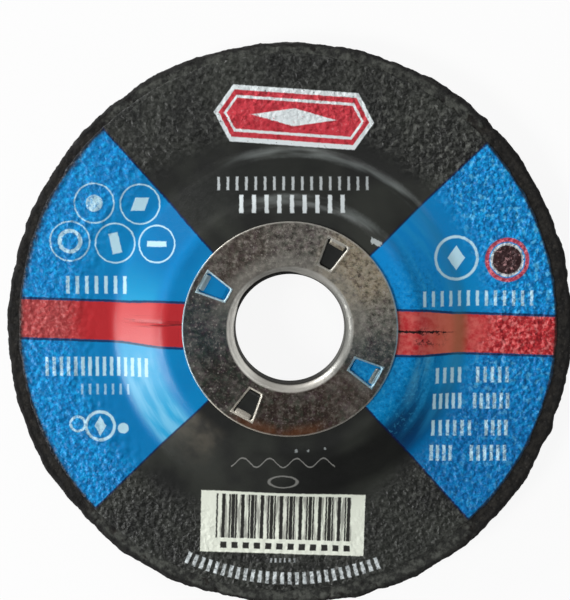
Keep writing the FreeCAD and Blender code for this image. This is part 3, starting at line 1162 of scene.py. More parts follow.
        # Painted sheen, brownish, across the right slope
        brown_sheen = paint.belt(paint.radius, (26.0, 33.0), (34.2, 37.0)) * paint.facing(6.0, 56.0)
        return paint.coats(
            Red.PLAIN,
            (Red.LIGHT, self.light * 0.55),
            (Red.DARK, self.dark * 0.8),
            (Red.GLINT, self.glints * 0.42),
            (Red.DUSTY, self.grainy * paint.facing(182.0, 40.0) * 0.35),
            (Red.WASHED, washed * (1 - self.grainy) * 0.68),
            (Red.BROWN_SHEEN, brown_sheen * 0.8),
            (Red.GLARE, self.glare * 0.35))

    def tear(self) -> Wire:
        """Dark creases along the band's middle: strands on the left, crumbs on the right.

        Returns:
            Their mask.
        """
        paint, aside, radius = self.paint, self.aside, self.paint.radius
        wobble = (paint.noise(3.0, 3.0, 0.7) - 0.5) * 1.3
        ragged = paint.noise(0.7, 3.0, 0.7)
        stretched = paint.joined(self.across * 0.12, self.up * 1.9)
        drawn_out = paint.noise(1.0, 3.0, 0.6, place=stretched)
        right = paint.between(-1.0, 1.0, self.across)
        width = paint.between(34.5, 27.0, radius, 0.02, 0.24) + (ragged - 0.5) * 0.9
        crease = self.soft(abs(aside - 0.28 + wobble * 0.5) - width, 0.12)
        crease = crease * paint.between(34.4, 32.0, radius)
        strands = paint.between(0.50, 0.62, drawn_out) * paint.between(1.5, 0.4, abs(aside - 0.45))
        strands = strands * paint.between(34.8, 30.0, radius) * (1 - right) * 0.8
        crumbs = paint.between(0.49, 0.56, ragged) * paint.between(2.5, 0.6, abs(aside + 0.8))
        crumbs = crumbs * paint.belt(self.across, (24.5, 26.0), (28.5, 33.0))
        crumbs = crumbs * paint.between(0.42, 0.50, paint.noise(2.2))
        return (crease * (right * 0.75 + 0.25)) | (crumbs * 0.9) | strands

    def fields(self) -> Colour:
        """Black ground, blue sectors and red band, with navy outlines between them and a painted
        sheen along the slope's lower bend on the right.

        Returns:
            The colour.
        """
        paint, sector, band = self.paint, self.sector, self.band
        lines = self.soft(abs(self.inside_sectors) - 0.18) | (
            self.soft(abs(self.band_gap - 0.22) - 0.26) * sector)
        # Painted sheen along the slope's lower bend on the right
        verge_sheen = paint.between(2.4, 0.2, abs(paint.radius - 34.6)) * paint.facing(8.0, 50.0) * sector
        return paint.coats(
            self.black_field(),
            (self.blue_field(), sector),
            (self.red_band(), band * sector),
            (Ink.NAVY, lines * 0.85),
            (paint.blend(Blue.VERGE_SHEEN, Red.VERGE_SHEEN, band), verge_sheen * (band * 0.2 + 0.24)),
            (Ink.TEAR, self.tear() * band * sector))


class Print(Ground):
    """The printed paper: rows of ticks, rings and plain shapes on the fields of colour, worn."""

    fine_tick: Spot = (1.45, 0.66)
    # Start, end, place above the middle, height, pitch and width of the ticks in each level row
    pale_rows: tuple[tuple[float, ...], ...] = (
        (-11.0, 11.8, 25.2, 3.6, 2.6, 0.8), (-46.2, -32.6, 8.7, 3.6, 2.0, 0.7),
        (-50.4, -28.4, -8.0, 3.9, *fine_tick), (26.2, 50.2, 6.0, 3.1, 1.9, 0.62))
    faint_rows: tuple[tuple[float, ...], ...] = (
        (-15.3, 16.5, 29.3, 2.7, 1.9, 0.5), (-43.3, -32.3, -12.7, 2.2, 1.5, 0.45),
        (-4.4, 1.4, -48.4, 0.9, 0.9, 0.4))
    # Start, end and place above the middle of the short rows on the right
    blocks: tuple[tuple[float, float, float], ...] = (
        (29.2, 35.5, -9.7), (37.7, 45.2, -9.7), (28.8, 35.5, -15.1), (37.2, 45.3, -15.1),
        (28.6, 37.6, -20.7), (39.6, 45.0, -20.7), (28.4, 33.6, -25.9), (36.6, 44.8, -25.9))
    block_height: float = 3.2
    # Where the curved row runs, and the arc on which its ticks are spaced between two bearings
    sweep_radius: float = 52.2
    sweep_arc: float = 52.0
    sweep_ends: Spot = (-114.5, -69.0)
    # Place, radius and line width
    rings: tuple[tuple[Spot, float, float], ...] = (
        ((-39.7, 25.3), 4.0, 0.28), ((-30.4, 25.1), 4.0, 0.28), ((-44.7, 17.6), 4.0, 0.28),
        ((-44.7, 17.6), 2.1, 0.8), ((-35.5, 17.2), 4.0, 0.28), ((-26.9, 17.1), 3.7, 0.28),
        ((33.8, 14.2), 4.3, 0.55), ((-43.5, -19.9), 1.5, 0.5), ((-38.9, -20.3), 2.9, 0.6))
    discs: tuple[tuple[Spot, float], ...] = (((-39.7, 25.3), 1.7), ((-34.2, -20.8), 1.1))
    # Place, length and width, angle
    lozenges: tuple[tuple[Spot, Spot, float], ...] = (
        ((-30.4, 25.1), (4.6, 3.2), 35.0), ((33.8, 14.2), (3.6, 5.0), 0.0),
        ((-38.9, -20.3), (2.4, 4.2), 0.0))
    bars: tuple[tuple[Spot, Spot, float], ...] = (
        ((-35.5, 17.2), (1.9, 4.2), 12.0), ((-26.9, 17.1), (4.0, 1.1), 0.0))
    roundel_place: Spot = (44.2, 13.8)
    scuffs: tuple[tuple[Spot, float], ...] = (
        ((1.2, -24.7), 0.36), ((3.7, -24.7), 0.28), ((7.1, -24.3), 0.26))
    hexagon_place: Spot = (0.8, 42.6)
    hexagon_turn: float = -4.0
    panel_turn: float = -1.8

    def pale_shapes(self) -> Wire:
        """Everything that is printed pale on the blue and black fields.

        Returns:
            The shape.
        """
        turn = self.paint.math("ARCTAN2", self.up, self.across)
        start, end = (math.radians(bearing) * self.sweep_arc for bearing in self.sweep_ends)
        sweep = self.ticks(turn * self.sweep_arc, self.paint.radius - self.sweep_radius,
                           start, end, 2.5, 1.55, 0.72)
        return self.together(
            *(self.row(*row) for row in self.pale_rows),
            *(self.row(*block, self.block_height, *self.fine_tick) for block in self.blocks),
            sweep,
            *(self.ring(*ring) for ring in self.rings),
            *(self.disc(*disc) for disc in self.discs),
            *(self.lozenge(*lozenge) for lozenge in self.lozenges),
            *(self.bar(*bar) for bar in self.bars))

    def pale_print(self) -> list[Coat]:
        """The pale shapes, which wear off over the grain and leave the red band free.

        Returns:
            Their coats.
        """
        paint, grainy, worn = self.paint, self.grainy, self.worn
        faint = self.together(*(self.row(*row) for row in self.faint_rows))
        ink = self.soft(self.pale_shapes()) * (1 - grainy + grainy * (worn * 0.7 + 0.3))
        ink = ink | (self.soft(faint) * (1 - grainy + grainy * worn) * 0.64)
        return [(paint.blend(Ink.PALE, Ink.PALE_ON_BLUE, self.sector),
                 ink * (1 - self.band * self.sector) * 0.84)]

    def roundel(self) -> list[Coat]:
        """A plain dark disc with chips, in a pale ring and a red one.

        Returns:
            Its coats.
        """
        paint, place = self.paint, self.roundel_place
        chips = paint.between(0.56, 0.66, paint.noise(0.9, 3.0, 0.7, swirl=0.5))
        return [
            (paint.blend(Ink.ROUNDEL, Ink.CHIP, chips * 0.7), self.soft(self.disc(place, 3.3))),
            (Ink.PALE, self.soft(self.ring(place, 3.2, 0.5)) * self.worn * 0.8),
            (paint.blend(Red.PLAIN, Red.LIGHT, 1 - self.worn),
             self.soft(self.ring(place, 4.1, 0.8)) * 0.9)]

    def panel_frame(self) -> tuple[Wire, Wire, Wire]:
        """Coordinates along and across the pale panel, and its shape."""
        along, aside = self.turned_at(SECTION.panel_place, self.panel_turn)
        return along, aside, (abs(along) - 16.9) | (abs(aside) - 6.4)

    def panel(self) -> list[Coat]:
        """A pale panel with dark upright bars in an even rhythm.

        Returns:
            Its coats.
        """
        paint = self.paint
        along, aside, outline = self.panel_frame()
        smear = paint.noise(1.0, place=paint.joined(along * 1.5, aside * 0.14))
        barred = (abs(along - 0.7) - 13.6) | (abs(aside - 1.2) - 4.5)
        ends = (-13.2, 14.6)
        wide = self.ticks(along, aside - 1.2, *ends, 9.2, 1.98, 0.72)
        thin = self.ticks(along + 1.0, aside - 1.2, *ends, 9.2, 1.32, 0.34)
        foot = self.ticks(along, aside + 4.9, *ends, 1.3, 2.3, 1.3)
        return [
            (Ink.PANEL, self.soft(outline)),
            (Ink.SMEAR, paint.between(0.42, 0.60, smear) * self.soft(barred) * 0.75),
            (Ink.BAR, self.soft(self.together(wide, thin, foot), 0.1))]

    def hexagon(self) -> list[Coat]:
        """A long red hexagon with a pale border, in the upper black field.

        Returns:
            Its coats.
        """
        paint = self.paint
        along, aside = self.turned_at(self.hexagon_place, self.hexagon_turn)
        border = (abs(along) + abs(aside) * 0.62 - 16.2) | (abs(aside) - 5.7)
        inner_line = abs(border + 2.3) - 0.28
        middle = self.lozenge(self.hexagon_place, (17.0, 3.6), self.hexagon_turn)
        worn = paint.between(0.72, 0.60, paint.noise(0.7, 3.0, 0.7))
        mottle = paint.noise(0.9, 3.0, 0.65)
        red = paint.coats(Red.HEXAGON, (Red.DARK, paint.between(0.50, 0.34, mottle) * 0.7),
                          (Red.HEXAGON_LIGHT, paint.between(0.58, 0.74, mottle) * 0.45))
        return [
            (Ink.PALE, self.soft(border) * worn),
            (red, self.soft(border + 0.95)),
            (Ink.PALE, self.soft(self.together(inner_line, middle)) * worn)]

    def drawn_lines(self) -> list[Coat]:
        """A wave line and an empty oval above the panel.

        Returns:
            Their coats.
        """
        across = self.across + 1.4
        wave = abs(self.up + 27.3 - (self.across * 1.15).math("SINE")) - 0.16
        oval = abs(self.paint.length(across * 0.45, self.up + 31.6) - 1.3) - 0.14
        lines = self.together(wave | (abs(across) - 10.6), oval)
        return [(Ink.GREY, self.soft(lines, 0.09) * 0.8)]

    def wear(self) -> list[Coat]:
        """Rubbed bends with painted highlights, scuffs, a bare patch, the darker edge and the
        paper's cut.

        Returns:
            Their coats.
        """
        paint, radius = self.paint, self.paint.radius
        tattered = (paint.noise(0.9, 3.0, 0.7) - 0.5) * 3.2
        scuffs = self.together(*(self.disc(*scuff) for scuff in self.scuffs)) + tattered * 0.2
        patch = self.bar((17.2, 17.5), (2.2, 1.1), -20.0) + tattered * 0.5
        bends = paint.between(1.7, 0.1, abs(radius - 26.0 + tattered * 0.3)) | paint.between(
            1.5, 0.1, abs(radius - 35.7 + tattered * 0.2))
        smears = paint.between(0.34, 0.70, paint.noise(1.9, place=self.wound))
        # Pale arcs along both bends at the upper right: rubbed wear and painted highlights
        rubbed_and_lit = bends * paint.facing(72.0, 46.0) * smears * (1 - self.sector * 0.7) * 0.32
        # Darker towards the paper's outer edge in the coloured sectors
        darker_edge = paint.between(53.9, 55.3, radius + (paint.noise(1.8, 3.0, 0.65) - 0.5) * 2.2)
        left, up = SECTION.paper_shift
        cut = paint.between(54.3, 54.75, paint.length(paint.across - left, paint.up - up))
        return [
            (Ink.RUBBED_AND_LIT, rubbed_and_lit),
            (Ink.SCUFF, (self.soft(scuffs) * 0.45) | (self.soft(patch) * 0.8)),
            (Ink.RIM, darker_edge * self.sector * 0.85),
            (Ink.CUT, cut * self.sector * 0.85)]

    def make(self) -> bpy.types.Material:
        """Lays the layers of the print over one another and feeds the shader.

        Returns:
            The finished material.
        """
        paint = self.paint
        colour = paint.coats(self.fields(), *self.pale_print(), *self.roundel(), *self.panel(),
                             *self.hexagon(), *self.drawn_lines(), *self.wear())
        rough = paint.between(0.3, 0.7, paint.noise(1.0, 3.0, 0.6), 0.28, 0.36)
        steep = self.grainy * (1.15 - paint.facing(145.0, 95.0) * 0.5) * (
            1 - self.soft(self.panel_frame()[2]) * 0.65)
        bumps = [(paint.noise(0.95, 1.5, 0.45, swirl=0.25) * steep, 0.56),
                 (paint.noise(0.35), 0.02)]
        return paint.finish(colour, rough + self.grainy * 0.08, bumps,
                            {"Specular IOR Level": 0.25})


# Pieces -----------------------------------------------------------------------------------------

@dataclass
class GrindingBody:
    """The moulded wheel: dished section, rough rim, net pressed into the grinding face."""

    around: int = 720
    collar_gap: float = 0.7
    bore_chamfer: float = 1.5
    back_chamfer: float = 0.7
    face_chamfer: float = 0.4
    paper_gap: float = 0.02
    lowest: float = 0.05
    rim_grit: float = 0.30
    rim_lumps: float = 0.12
    face_grit: float = 0.13
    face_lumps: float = 0.05
    thread_rise: float = 0.09
    face_sink: float = 0.20

    def section(self) -> np.ndarray:
        """Half section in order: up the bore, out along the back, down the rim, in along the face.

        Returns:
            Rows of distance from the axis and height.
        """
        bore, rim = SECTION.bore_radius + self.collar_gap, SECTION.wheel_radius
        bore_top = SECTION.hub_height - self.bore_chamfer
        back = spaced((bore + self.bore_chamfer, 23.5, 28.0, 34.0, 38.5, 54.0,
                       rim - self.back_chamfer), (5, 6, 3, 6, 5, 12))
        side = spaced((SECTION.back_height - self.back_chamfer, self.face_chamfer), (16,))
        face = spaced((rim - self.face_chamfer, 37.5, 32.5, 25.5, 22.8, bore), (40, 8, 8, 7, 12))
        return np.concatenate([
            rows(bore, spaced((SECTION.recess_depth, bore_top), (4,))),
            [[bore, bore_top]],
            rows(back, SECTION.back(back) - self.paper_gap),
            [[rim - self.back_chamfer, SECTION.back_height],
             [rim - 0.2, SECTION.back_height - 0.28]],
            rows(rim, side),
            rows(face, np.maximum(SECTION.face(face), self.lowest)),
        ])

    def threads(self, places: np.ndarray) -> np.ndarray:
        """Height of the net's threads: rounded ridges along both axes, strayed by slow noise.

        Args:
            places: points in millimetres, three numbers in the last axis.

        Returns:
            1 on top of a thread, 0 between them.
        """
        ridges = []
        for axis in (0, 1):
            stray = 0.9 * lattice_noise(places, 9.0, Seed.NET + axis)
            phase = (places[..., axis] + stray) / SECTION.net_pitch
            gap = np.abs(phase - np.round(phase)) * SECTION.net_pitch
            ridges.append(smooth(0.95, 0.2, gap))
        return np.maximum(*ridges)

    def build(self) -> bpy.types.Object:
        """Turns the section, roughens it along its normals and lets the rim stray.

        Returns:
            The piece.
        """
        grid = revolved(self.section(), round_turn(self.around))
        normal, radius, height = outward(grid), from_axis(grid), grid[..., 2]
        grit = grit_noise(grid, 1.0, Seed.WHEEL_GRIT) - 0.45
        lumps = lattice_noise(grid, 1.9, Seed.WHEEL_LUMPS)
        on_rim = smooth(54.3, 55.2, radius) * smooth(0.2, 1.0, height)
        on_face = (normal[..., 2] < -0.3) & (height < 6)
        carved = (self.face_grit * grit + self.face_lumps * lumps
                  + self.thread_rise * self.threads(grid) - self.face_sink)
        depth = np.where(on_face, np.minimum(carved, 0.0),
                         on_rim * (self.rim_grit * grit + self.rim_lumps * lumps))
        spread = smooth(52.0, 57.0, radius) * RimWander().at(grid)
        grid = grid + normal * depth[..., None]
        grid[..., :2] *= (1 + spread / np.maximum(radius, 1))[..., None]
        grid[..., 2] = np.maximum(grid[..., 2], 0.0)
        return piece_of("wheel_grain", grid, grid_faces(*grid.shape[:2]))


@dataclass
class PrintedPaper:
    """The paper: a thin closed shell over hub, shoulder and back, raised by the grain beneath."""

    around: int = 720
    hole: float = 13.315
    edge: float = 55.0
    grit_rise: float = 0.30
    lump_rise: float = 0.15
    swell_rise: float = 0.03
    crease_depth: float = 0.09
    crease_slope: float = 0.034
    fine_rag: float = 0.18
    broad_rag: float = 0.12

    def section(self) -> np.ndarray:
        """Half section in order: out along the printed side, round the edge, back underneath.

        The printed side lies the paper's thickness away from the wheel's back, square to it.

        Returns:
            Rows of distance from the axis and height.
        """
        top = spaced((self.hole, 21.5, 24.3, 27.2, 34.2, 37.6, self.edge - 0.25),
                     (4, 4, 9, 14, 10, 58))
        height = SECTION.back(top)
        slope = np.gradient(height, top)
        lift = SECTION.paper_thickness / np.sqrt(1 + slope ** 2)
        under = spaced((self.edge, 37.5, 34.5, 27.2, 24.2, self.hole), (5, 5, 2, 5, 3))
        return np.concatenate([
            rows(top - slope * lift, height + lift),
            [[self.edge - 0.12, SECTION.back_height + 0.18],
             [self.edge, SECTION.back_height + 0.10]],
            rows(under, SECTION.back(under)),
        ])

    def relief(self, grid: np.ndarray) -> np.ndarray:
        """How far the printed side is raised: grains, lumps and slow swells, less the crease.

        Args:
            grid: points in millimetres, three numbers in the last axis.

        Returns:
            Millimetres along the normal, calmer under the pale panel.
        """
        radius, across, up = from_axis(grid), grid[..., 0], grid[..., 1]
        panel_across, panel_up = SECTION.panel_place
        calm = smooth(18.4, 16.4, np.abs(across - panel_across)) * smooth(
            7.9, 5.9, np.abs(up - panel_up))
        grainy = smooth(38.0, 43.5, radius) * (1 - 0.6 * calm)
        grit = grit_noise(grid, 1.25, Seed.PAPER_GRIT) - 0.5
        lumps = lattice_noise(grid, 1.2, Seed.PAPER_LUMPS)
        swell = self.swell_rise * lattice_noise(grid, 8.0, Seed.PAPER_SWELL)
        raised = grainy * (self.grit_rise * grit + self.lump_rise * lumps + 0.02)
        raised = raised + swell * smooth(22.0, 25.0, radius)
        crease = bell(up + self.crease_slope * across, 0.3, 0.35) * smooth(34.0, 29.0, radius)
        raised = np.maximum(raised - self.crease_depth * crease, -0.12)
        return raised * smooth(54.95, 54.4, radius)

    def build(self) -> bpy.types.Object:
        """Turns the section, raises the printed side and shifts the ragged outer edge.

        Returns:
            The piece.
        """
        grid = revolved(self.section(), round_turn(self.around))
        normal, outer = outward(grid), smooth(44.0, self.edge, from_axis(grid))
        printed = normal[..., 2] > 0.3
        grid = grid + normal * np.where(printed, self.relief(grid), 0)[..., None]
        flat = grid * [1, 1, 0]
        ragged = (self.fine_rag * lattice_noise(flat, 1.6, Seed.EDGE_FINE)
                  + self.broad_rag * lattice_noise(flat, 5.0, Seed.EDGE_BROAD))
        for axis, shift in enumerate(SECTION.paper_shift):
            grid[..., axis] += outer * (shift + ragged * grid[..., axis] / self.edge)
        return piece_of("paper_print", grid, grid_faces(*grid.shape[:2]))


@dataclass
class HubRing:
    """The pressed ring: flange with four windows, rolled lip and collar, and four bent prongs."""

    window_start: float = 14.4
    window_end: float = 19.9
    inner_width: float = 2.5
    outer_width: float = 4.3
    corner_radius: float = 0.42
    window_roll: float = 0.34
    flange_inner: float = 13.4
    flange_outer: float = 21.4
    ring_radius: float = 21.75
    ring_rounding: float = 0.22
    seat: float = 11.1
    top: float = 11.6
    lip_radius: float = 1.8
    sheet: float = 0.5
    collar_end: float = 5.1
    prong_bend: float = 1.3
    prong_width: float = 3.42
    prong_tip_width: float = 2.5
    prong_tip: float = 6.45
    prong_sink: float = 0.03
    burr_rise: float = 0.07
    burr_reach: float = 0.52
    burr_width: float = 0.26
    roll_burr: float = 0.05
    broad_swell: float = 0.035
    fine_swell: float = 0.012
    corner_steps: int = 16
    arc_steps: int = 84
    side_steps: int = 56

    @property
    def loop_steps(self) -> tuple[int, ...]:
        """Points in each quarter of a loop round a window, from its outer side on."""
        return (self.arc_steps, self.side_steps) * 2

    def window_outline(self) -> tuple[np.ndarray, np.ndarray]:
        """Outline of one window, anticlockwise from the middle of its outer right corner.

        The trapezoid's corners are rounded by arcs tangent to its sides. Each quarter of the loop,
        from one corner's middle to the next, gets as many points as its side of the patch round it.

        Returns:
            Points along and across the radius, and unit vectors that point out of the hole.
        """
        half_in, half_out = self.inner_width / 2, self.outer_width / 2
        corners = np.array([[self.window_end, -half_out], [self.window_end, half_out],
                            [self.window_start, half_in], [self.window_start, -half_in]])
        sides = unit(corners - np.roll(corners, 1, axis=0))
        arcs = []
        for corner, before, after in zip(corners, sides, np.roll(sides, -1, axis=0)):
            turn = math.acos(float(np.clip(before @ after, -1, 1)))
            inward = np.array([-before[1], before[0]])
            reach = self.corner_radius * math.tan(turn / 2)
            centre = corner - before * reach + inward * self.corner_radius
            steps = np.linspace(0, turn, self.corner_steps + 1)
            angles = math.atan2(-inward[1], -inward[0]) + steps
            arcs.append(centre + self.corner_radius * rows(np.cos(angles), np.sin(angles)))
        dense = np.roll(np.concatenate(arcs), -(self.corner_steps // 2), axis=0)
        closed = np.concatenate([dense, dense[:1]])
        gaps = np.linalg.norm(np.diff(closed, axis=0), axis=1)
        walked = np.concatenate([[0], np.cumsum(gaps)])
        places = spaced(walked[::self.corner_steps + 1], self.loop_steps)
        outline = np.stack([np.interp(places, walked, axis) for axis in closed.T], axis=1)
        tangent = np.roll(outline, -1, axis=0) - np.roll(outline, 1, axis=0)
        return outline, unit(np.stack([tangent[:, 1], -tangent[:, 0]], axis=1))

    def patch_border(self) -> np.ndarray:
        """Border of a window's quarter of flange, point for point with the window's outline.

        Returns:
            Rows of distance from the axis and bearing from the window's middle.
        """
        eighth = math.pi / 4
        corners = np.array([[self.flange_outer, -eighth], [self.flange_outer, eighth],
                            [self.flange_inner, eighth], [self.flange_inner, -eighth]])
        sides = zip(corners, np.roll(corners, -1, axis=0), self.loop_steps)
        return np.concatenate([np.linspace(start, end, steps, endpoint=False)
                               for start, end, steps in sides])

    def flange_quarter(self) -> np.ndarray:
        """Rows of points from the border over the top to the window, through it and back below.

        On the flat, distance and bearing blend evenly from the window's outline, moved out by the
        roll's width, to the border's. The roll is a quarter circle. The wall goes down to the same
        rows underneath. A burr stands round the window, by a bell curve over the distance to it.

        Returns:
            Points on a grid: row, place in the loop, three coordinates.
        """
        outline, normal = self.window_outline()
        border = self.patch_border()

        def blended(inner: np.ndarray, share: float) -> np.ndarray:
            """Places between an outline and the border, evenly in distance and bearing.

            Args:
                inner: the outline.
                share: how far they lie towards the border, from 0 to 1.

            Returns:
                Points along and across the radius.
            """
            polar = np.stack([np.hypot(*inner.T), np.arctan2(inner[:, 1], inner[:, 0])], axis=1)
            radius, bearing = (polar + (border - polar) * share).T
            return np.stack([radius * np.cos(bearing), radius * np.sin(bearing)], axis=1)

        levels = []
        rolled = outline + normal * self.window_roll
        for share in np.linspace(1, 0, 22, endpoint=False) ** 1.3:
            flat = blended(rolled, share)
            gap = np.linalg.norm(flat - outline, axis=1)
            burr = self.burr_rise * bell(gap, self.burr_reach, self.burr_width) * (1 - share)
            levels.append(np.column_stack([flat, self.top + burr]))
        for angle in np.linspace(0, math.pi / 2, 7):
            drop = self.window_roll * (1 - math.cos(angle)) - self.roll_burr * math.cos(angle) ** 2
            flat = outline + normal * self.window_roll * (1 - math.sin(angle))
            levels.append(np.column_stack([flat, np.full(len(flat), self.top - drop)]))
        for share in np.linspace(0, 1, 4):
            levels.append(np.column_stack([blended(outline, share),
                                           np.full(len(outline), self.seat)]))
        return np.array(levels)

    def skirt(self, section: np.ndarray) -> np.ndarray:
        """Carries an open half section round the axis on the bearings of the quarters' borders."""
        bearings = round_turn(4 * self.arc_steps) + math.radians(SECTION.window_turn) - math.pi / 4
        return revolved(section, bearings)

    def throat(self) -> np.ndarray:
        """Section of lip and collar: from the flange's underside down, up the bore and out.

        Returns:
            Rows of distance from the axis and height.
        """
        bore, lip, end = SECTION.bore_radius, self.lip_radius, self.collar_end
        inner_bend, outside = lip - self.sheet, bore + self.sheet
        return np.concatenate([
            [[self.flange_inner, self.seat]],
            arc((bore + lip, self.seat - inner_bend), inner_bend, 90, 180, 12),
            rows(outside, np.linspace(self.seat - inner_bend, end + 0.08, 6)),
            [[outside - 0.1, end], [bore + 0.1, end]],
            rows(bore, np.linspace(end + 0.1, self.top - lip, 12, endpoint=False)),
            arc((bore + lip, self.top - lip), lip, 180, 90, 22),
            rows(np.linspace(bore + lip, self.flange_inner, 4), self.top)])

    def outer_edge(self) -> np.ndarray:
        """Section of the ring's edge: from the flange's top round and in below.

        Returns:
            Rows of distance from the axis and height.
        """
        rounding, chamfer = self.ring_rounding, 0.05
        return np.concatenate([
            [[self.flange_outer, self.top]],
            arc((self.ring_radius - rounding, self.top - rounding), rounding, 90, 0, 6),
            [[self.ring_radius, self.top - rounding], [self.ring_radius, self.seat + chamfer],
             [self.ring_radius - chamfer, self.seat], [self.flange_outer, self.seat]]])

    def prong(self) -> np.ndarray:
        """One prong: a rounded strip carried along a straight, a quarter circle and down.

        Returns:
            Points on a grid: place along the path, place round the strip, three coordinates.
        """
        middle = self.prong_bend - self.sheet / 2
        bend_height = self.top - self.prong_bend
        level = self.top - self.sheet / 2 - self.prong_sink
        angles = np.radians(np.linspace(90, 180, 15))
        path = np.concatenate([
            rows(np.linspace(self.window_end + 0.7, self.window_end, 4, endpoint=False), level),
            rows(self.window_end + middle * np.cos(angles),
                 bend_height - self.prong_sink + middle * np.sin(angles)),
            rows(self.window_end - middle, np.linspace(bend_height - 0.4, self.prong_tip, 8))])
        ahead = unit(np.gradient(path, axis=0))
        drop = np.clip((bend_height - path[:, 1]) / (bend_height - self.prong_tip), 0, 1)
        half = (self.prong_width + (self.prong_tip_width - self.prong_width) * drop) / 2
        around = round_turn(32)
        wide, thick = (np.sign(wave) * np.abs(wave) ** power
                       for wave, power in ((np.cos(around), 0.28), (np.sin(around), 0.5)))
        # The first and last rows shrink to a point, which closes the ends
        ends = np.ones((len(path), 1))
        ends[[0, -1]] = 0.0
        thick, wide = self.sheet / 2 * thick * ends, half[:, None] * wide * ends
        return np.stack([path[:, :1] - ahead[:, 1:] * thick, wide,
                         path[:, 1:] + ahead[:, :1] * thick], axis=-1)

    def unevenness(self, points: np.ndarray) -> np.ndarray:
        """Moves the flange up and down by two layers of slow noise.

        Args:
            points: places in millimetres.

        Returns:
            The moved places.
        """
        flat = smooth(13.5, 15.5, from_axis(points)) * smooth(10.3, 10.9, points[:, 2])
        level = points * [1, 1, 0]
        swell = (self.broad_swell * lattice_noise(level, 6.5, Seed.STEEL_BROAD)
                 + self.fine_swell * lattice_noise(level, 1.9, Seed.STEEL_FINE))
        moved = points.copy()
        moved[:, 2] += flat * swell
        return moved

    def build(self) -> bpy.types.Object:
        """Puts quarters, lip with collar, outer edge and prongs together as one welded mesh.

        Returns:
            The piece.
        """
        points, faces = [], []

        def add(grid: np.ndarray, wrap_rows: bool = True, wrap_columns: bool = True) -> None:
            """Adds a grid to the piece.

            Args:
                grid: its points.
                wrap_rows: whether its last row joins the first one.
                wrap_columns: whether each row's last point joins its first one.
            """
            quads = grid_faces(*grid.shape[:2], wrap_rows, wrap_columns)
            faces.append(quads + sum(len(part) for part in points))
            points.append(grid.reshape(-1, 3))

        quarter, prong = self.flange_quarter(), self.prong()
        for index in range(4):
            turn = math.radians(SECTION.window_turn + 90 * index)
            matrix = np.array([[math.cos(turn), math.sin(turn), 0],
                               [-math.sin(turn), math.cos(turn), 0], [0, 0, 1]])
            add(quarter @ matrix, wrap_rows=False)
            add(prong @ matrix, wrap_rows=False)
        for section in (self.throat(), self.outer_edge()):
            add(self.skirt(section), wrap_columns=False)
        joined, quads = welded(np.concatenate(points), np.concatenate(faces))
        return piece_of("hub_steel", self.unevenness(joined), quads)


# Stage ------------------------------------------------------------------------------------------

@dataclass(frozen=True)
class Lamp:
    """A square soft lamp turned to the origin: bearing and angle from overhead in degrees."""

    name: str
    bearing: float
    zenith: float
    distance: float
    size: float
    power: float

    def hang(self) -> None:
        """Puts the lamp in the scene."""
        data = bpy.data.lights.new(self.name, "AREA")
        data.shape, data.size, data.energy = "SQUARE", self.size * MM, self.power
        lean, turn = math.radians(self.zenith), math.radians(self.bearing)
        lamp = linked(self.name, data)
        lamp.location = self.distance * MM * np.array(
            [math.sin(lean) * math.cos(turn), math.sin(lean) * math.sin(turn), math.cos(lean)])
        lamp.rotation_euler = (0, lean, turn)


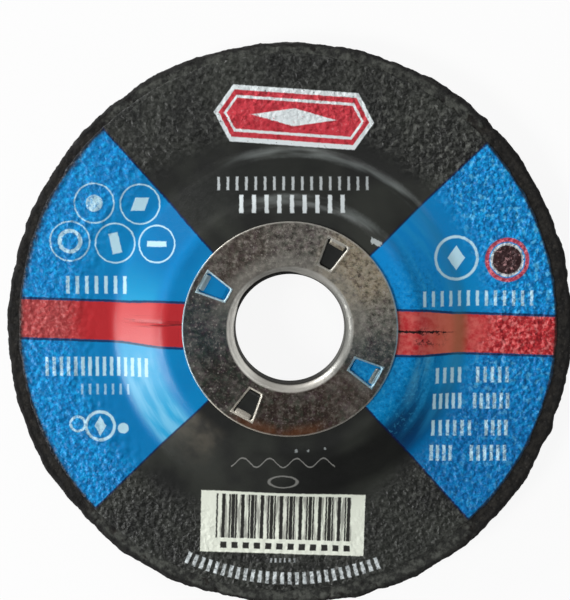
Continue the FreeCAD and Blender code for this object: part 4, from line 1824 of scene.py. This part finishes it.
@dataclass
class Studio:
    """Pale floor, soft lights and the camera."""

    target: tuple[float, float, float] = (-1.0, 5.6, 6.5)
    distance: float = 300.0
    tilt: float = 4.6
    frame_height: float = 122.3
    sensor: float = 36.0
    world_level: float = 0.85
    ceiling_level: float = 0.22
    floor_half: float = 4000.0
    floor_grey: float = 0.86
    floor_roughness: float = 0.9
    floor_glow: float = 0.91
    lamps: tuple[Lamp, ...] = (
        Lamp("key", 200.0, 49.0, 1400.0, 470.0, 12.0),
        Lamp("side", 135.0, 78.0, 1600.0, 500.0, 20.0),
        Lamp("top", 70.0, 20.0, 1400.0, 280.0, 1.6))

    def camera(self) -> None:
        """Puts the camera above the wheel, leaning a little towards the top of the print."""
        data = bpy.data.cameras.new("camera")
        data.sensor_fit, data.sensor_height = "VERTICAL", self.sensor
        data.lens = self.sensor * self.distance / self.frame_height
        data.clip_start, data.clip_end = 0.01, 20.0
        camera = linked("camera", data)
        lean = math.radians(self.tilt)
        way = np.array([0, math.sin(lean), math.cos(lean)])
        camera.location = (np.array(self.target) + self.distance * way) * MM
        camera.rotation_euler = (-lean, 0, 0)
        bpy.context.scene.camera = camera

    def world(self) -> None:
        """Makes the world white at the horizon, dimmer overhead and darker at the lower right."""
        world = bpy.data.worlds.new("studio")
        bpy.context.scene.world = world
        world.use_nodes = True
        paint = Paint.on(world.node_tree)
        camera, seen = paint.rays()
        across, up, height = paint.parts(paint.node("ShaderNodeTexCoord", output="Generated"))
        ceiling = paint.between(0.05, 0.75, height, 1.0, self.ceiling_level)
        aside = paint.between(0.0, 0.9, across * 0.64 - up * 0.77, 1.0, 0.15)
        shade = (ceiling * aside) | paint.between(0.45, 0.15, height) | camera
        background = world.node_tree.nodes["Background"]
        paint.feed(background.inputs["Strength"],
                   shade * (seen * (1 - self.world_level) + self.world_level))
        paint.feed(background.inputs["Color"], (1, 1, 1, 1))

    def floor(self) -> None:
        """Lays a wide floor that looks white and still takes the wheel's shadow."""
        corners = self.floor_half * np.array([[-1, -1, 0], [1, -1, 0], [1, 1, 0], [-1, 1, 0]])
        floor = piece_of("floor", corners, np.array([[0, 1, 2, 3]]))
        paint = Paint("floor")
        glow = paint.node("ShaderNodeEmission", {}, {"Color": (1, 1, 1, 1), "Strength": 1.0})
        seen = paint.rays()[1]
        paint.feed(paint.shader.inputs["Base Color"], (*(self.floor_grey,) * 3, 1))
        paint.feed(paint.shader.inputs["Roughness"], self.floor_roughness)
        mixed = paint.node("ShaderNodeMixShader", {}, {
            0: seen * self.floor_glow, 1: Wire(paint, paint.shader.outputs[0]), 2: glow})
        output = next(node for node in paint.tree.nodes if node.type == "OUTPUT_MATERIAL")
        paint.feed(output.inputs["Surface"], mixed)
        floor.data.materials.append(paint.material)

    def build(self) -> None:
        """Sets up camera, lamps, world and floor."""
        self.camera()
        for lamp in self.lamps:
            lamp.hang()
        self.world()
        self.floor()
        bpy.context.scene.view_settings.view_transform = "Standard"


# Assembly ---------------------------------------------------------------------------------------

def settle(piece: bpy.types.Object, material: bpy.types.Material, node: str) -> None:
    """Dresses a piece and says what it stands for.

    Args:
        piece: the piece.
        material: its finish.
        node: the model's node that it replaces.
    """
    piece.data.materials.append(material)
    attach(piece, "root")
    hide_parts(node)
    triangles = sum(len(face.vertices) - 2 for face in piece.data.polygons)
    LOG.info("%s stands for %s: %d triangles", piece.name, node, triangles)


def main() -> None:
    """Builds the wheel, its paper and its ring in order, then the studio round them."""
    logging.basicConfig(level=logging.INFO, format="%(name)s: %(message)s")
    makers: list[tuple[Callable[[], bpy.types.Object], Callable[[], bpy.types.Material],
                       str, str]] = [
        (GrindingBody().build, AbrasiveFinish().make, "grinding_body", "bonded_abrasive"),
        (PrintedPaper().build, Print().make, "label", "printed_paper"),
        (HubRing().build, SteelFinish().make, "hub_ring", "pressed_steel"),
    ]
    for build, make, node, slot in makers:
        settle(build(), make(), node)
    Studio().build()
    bpy.context.view_layer.update()


if __name__ == "__main__":
    main()
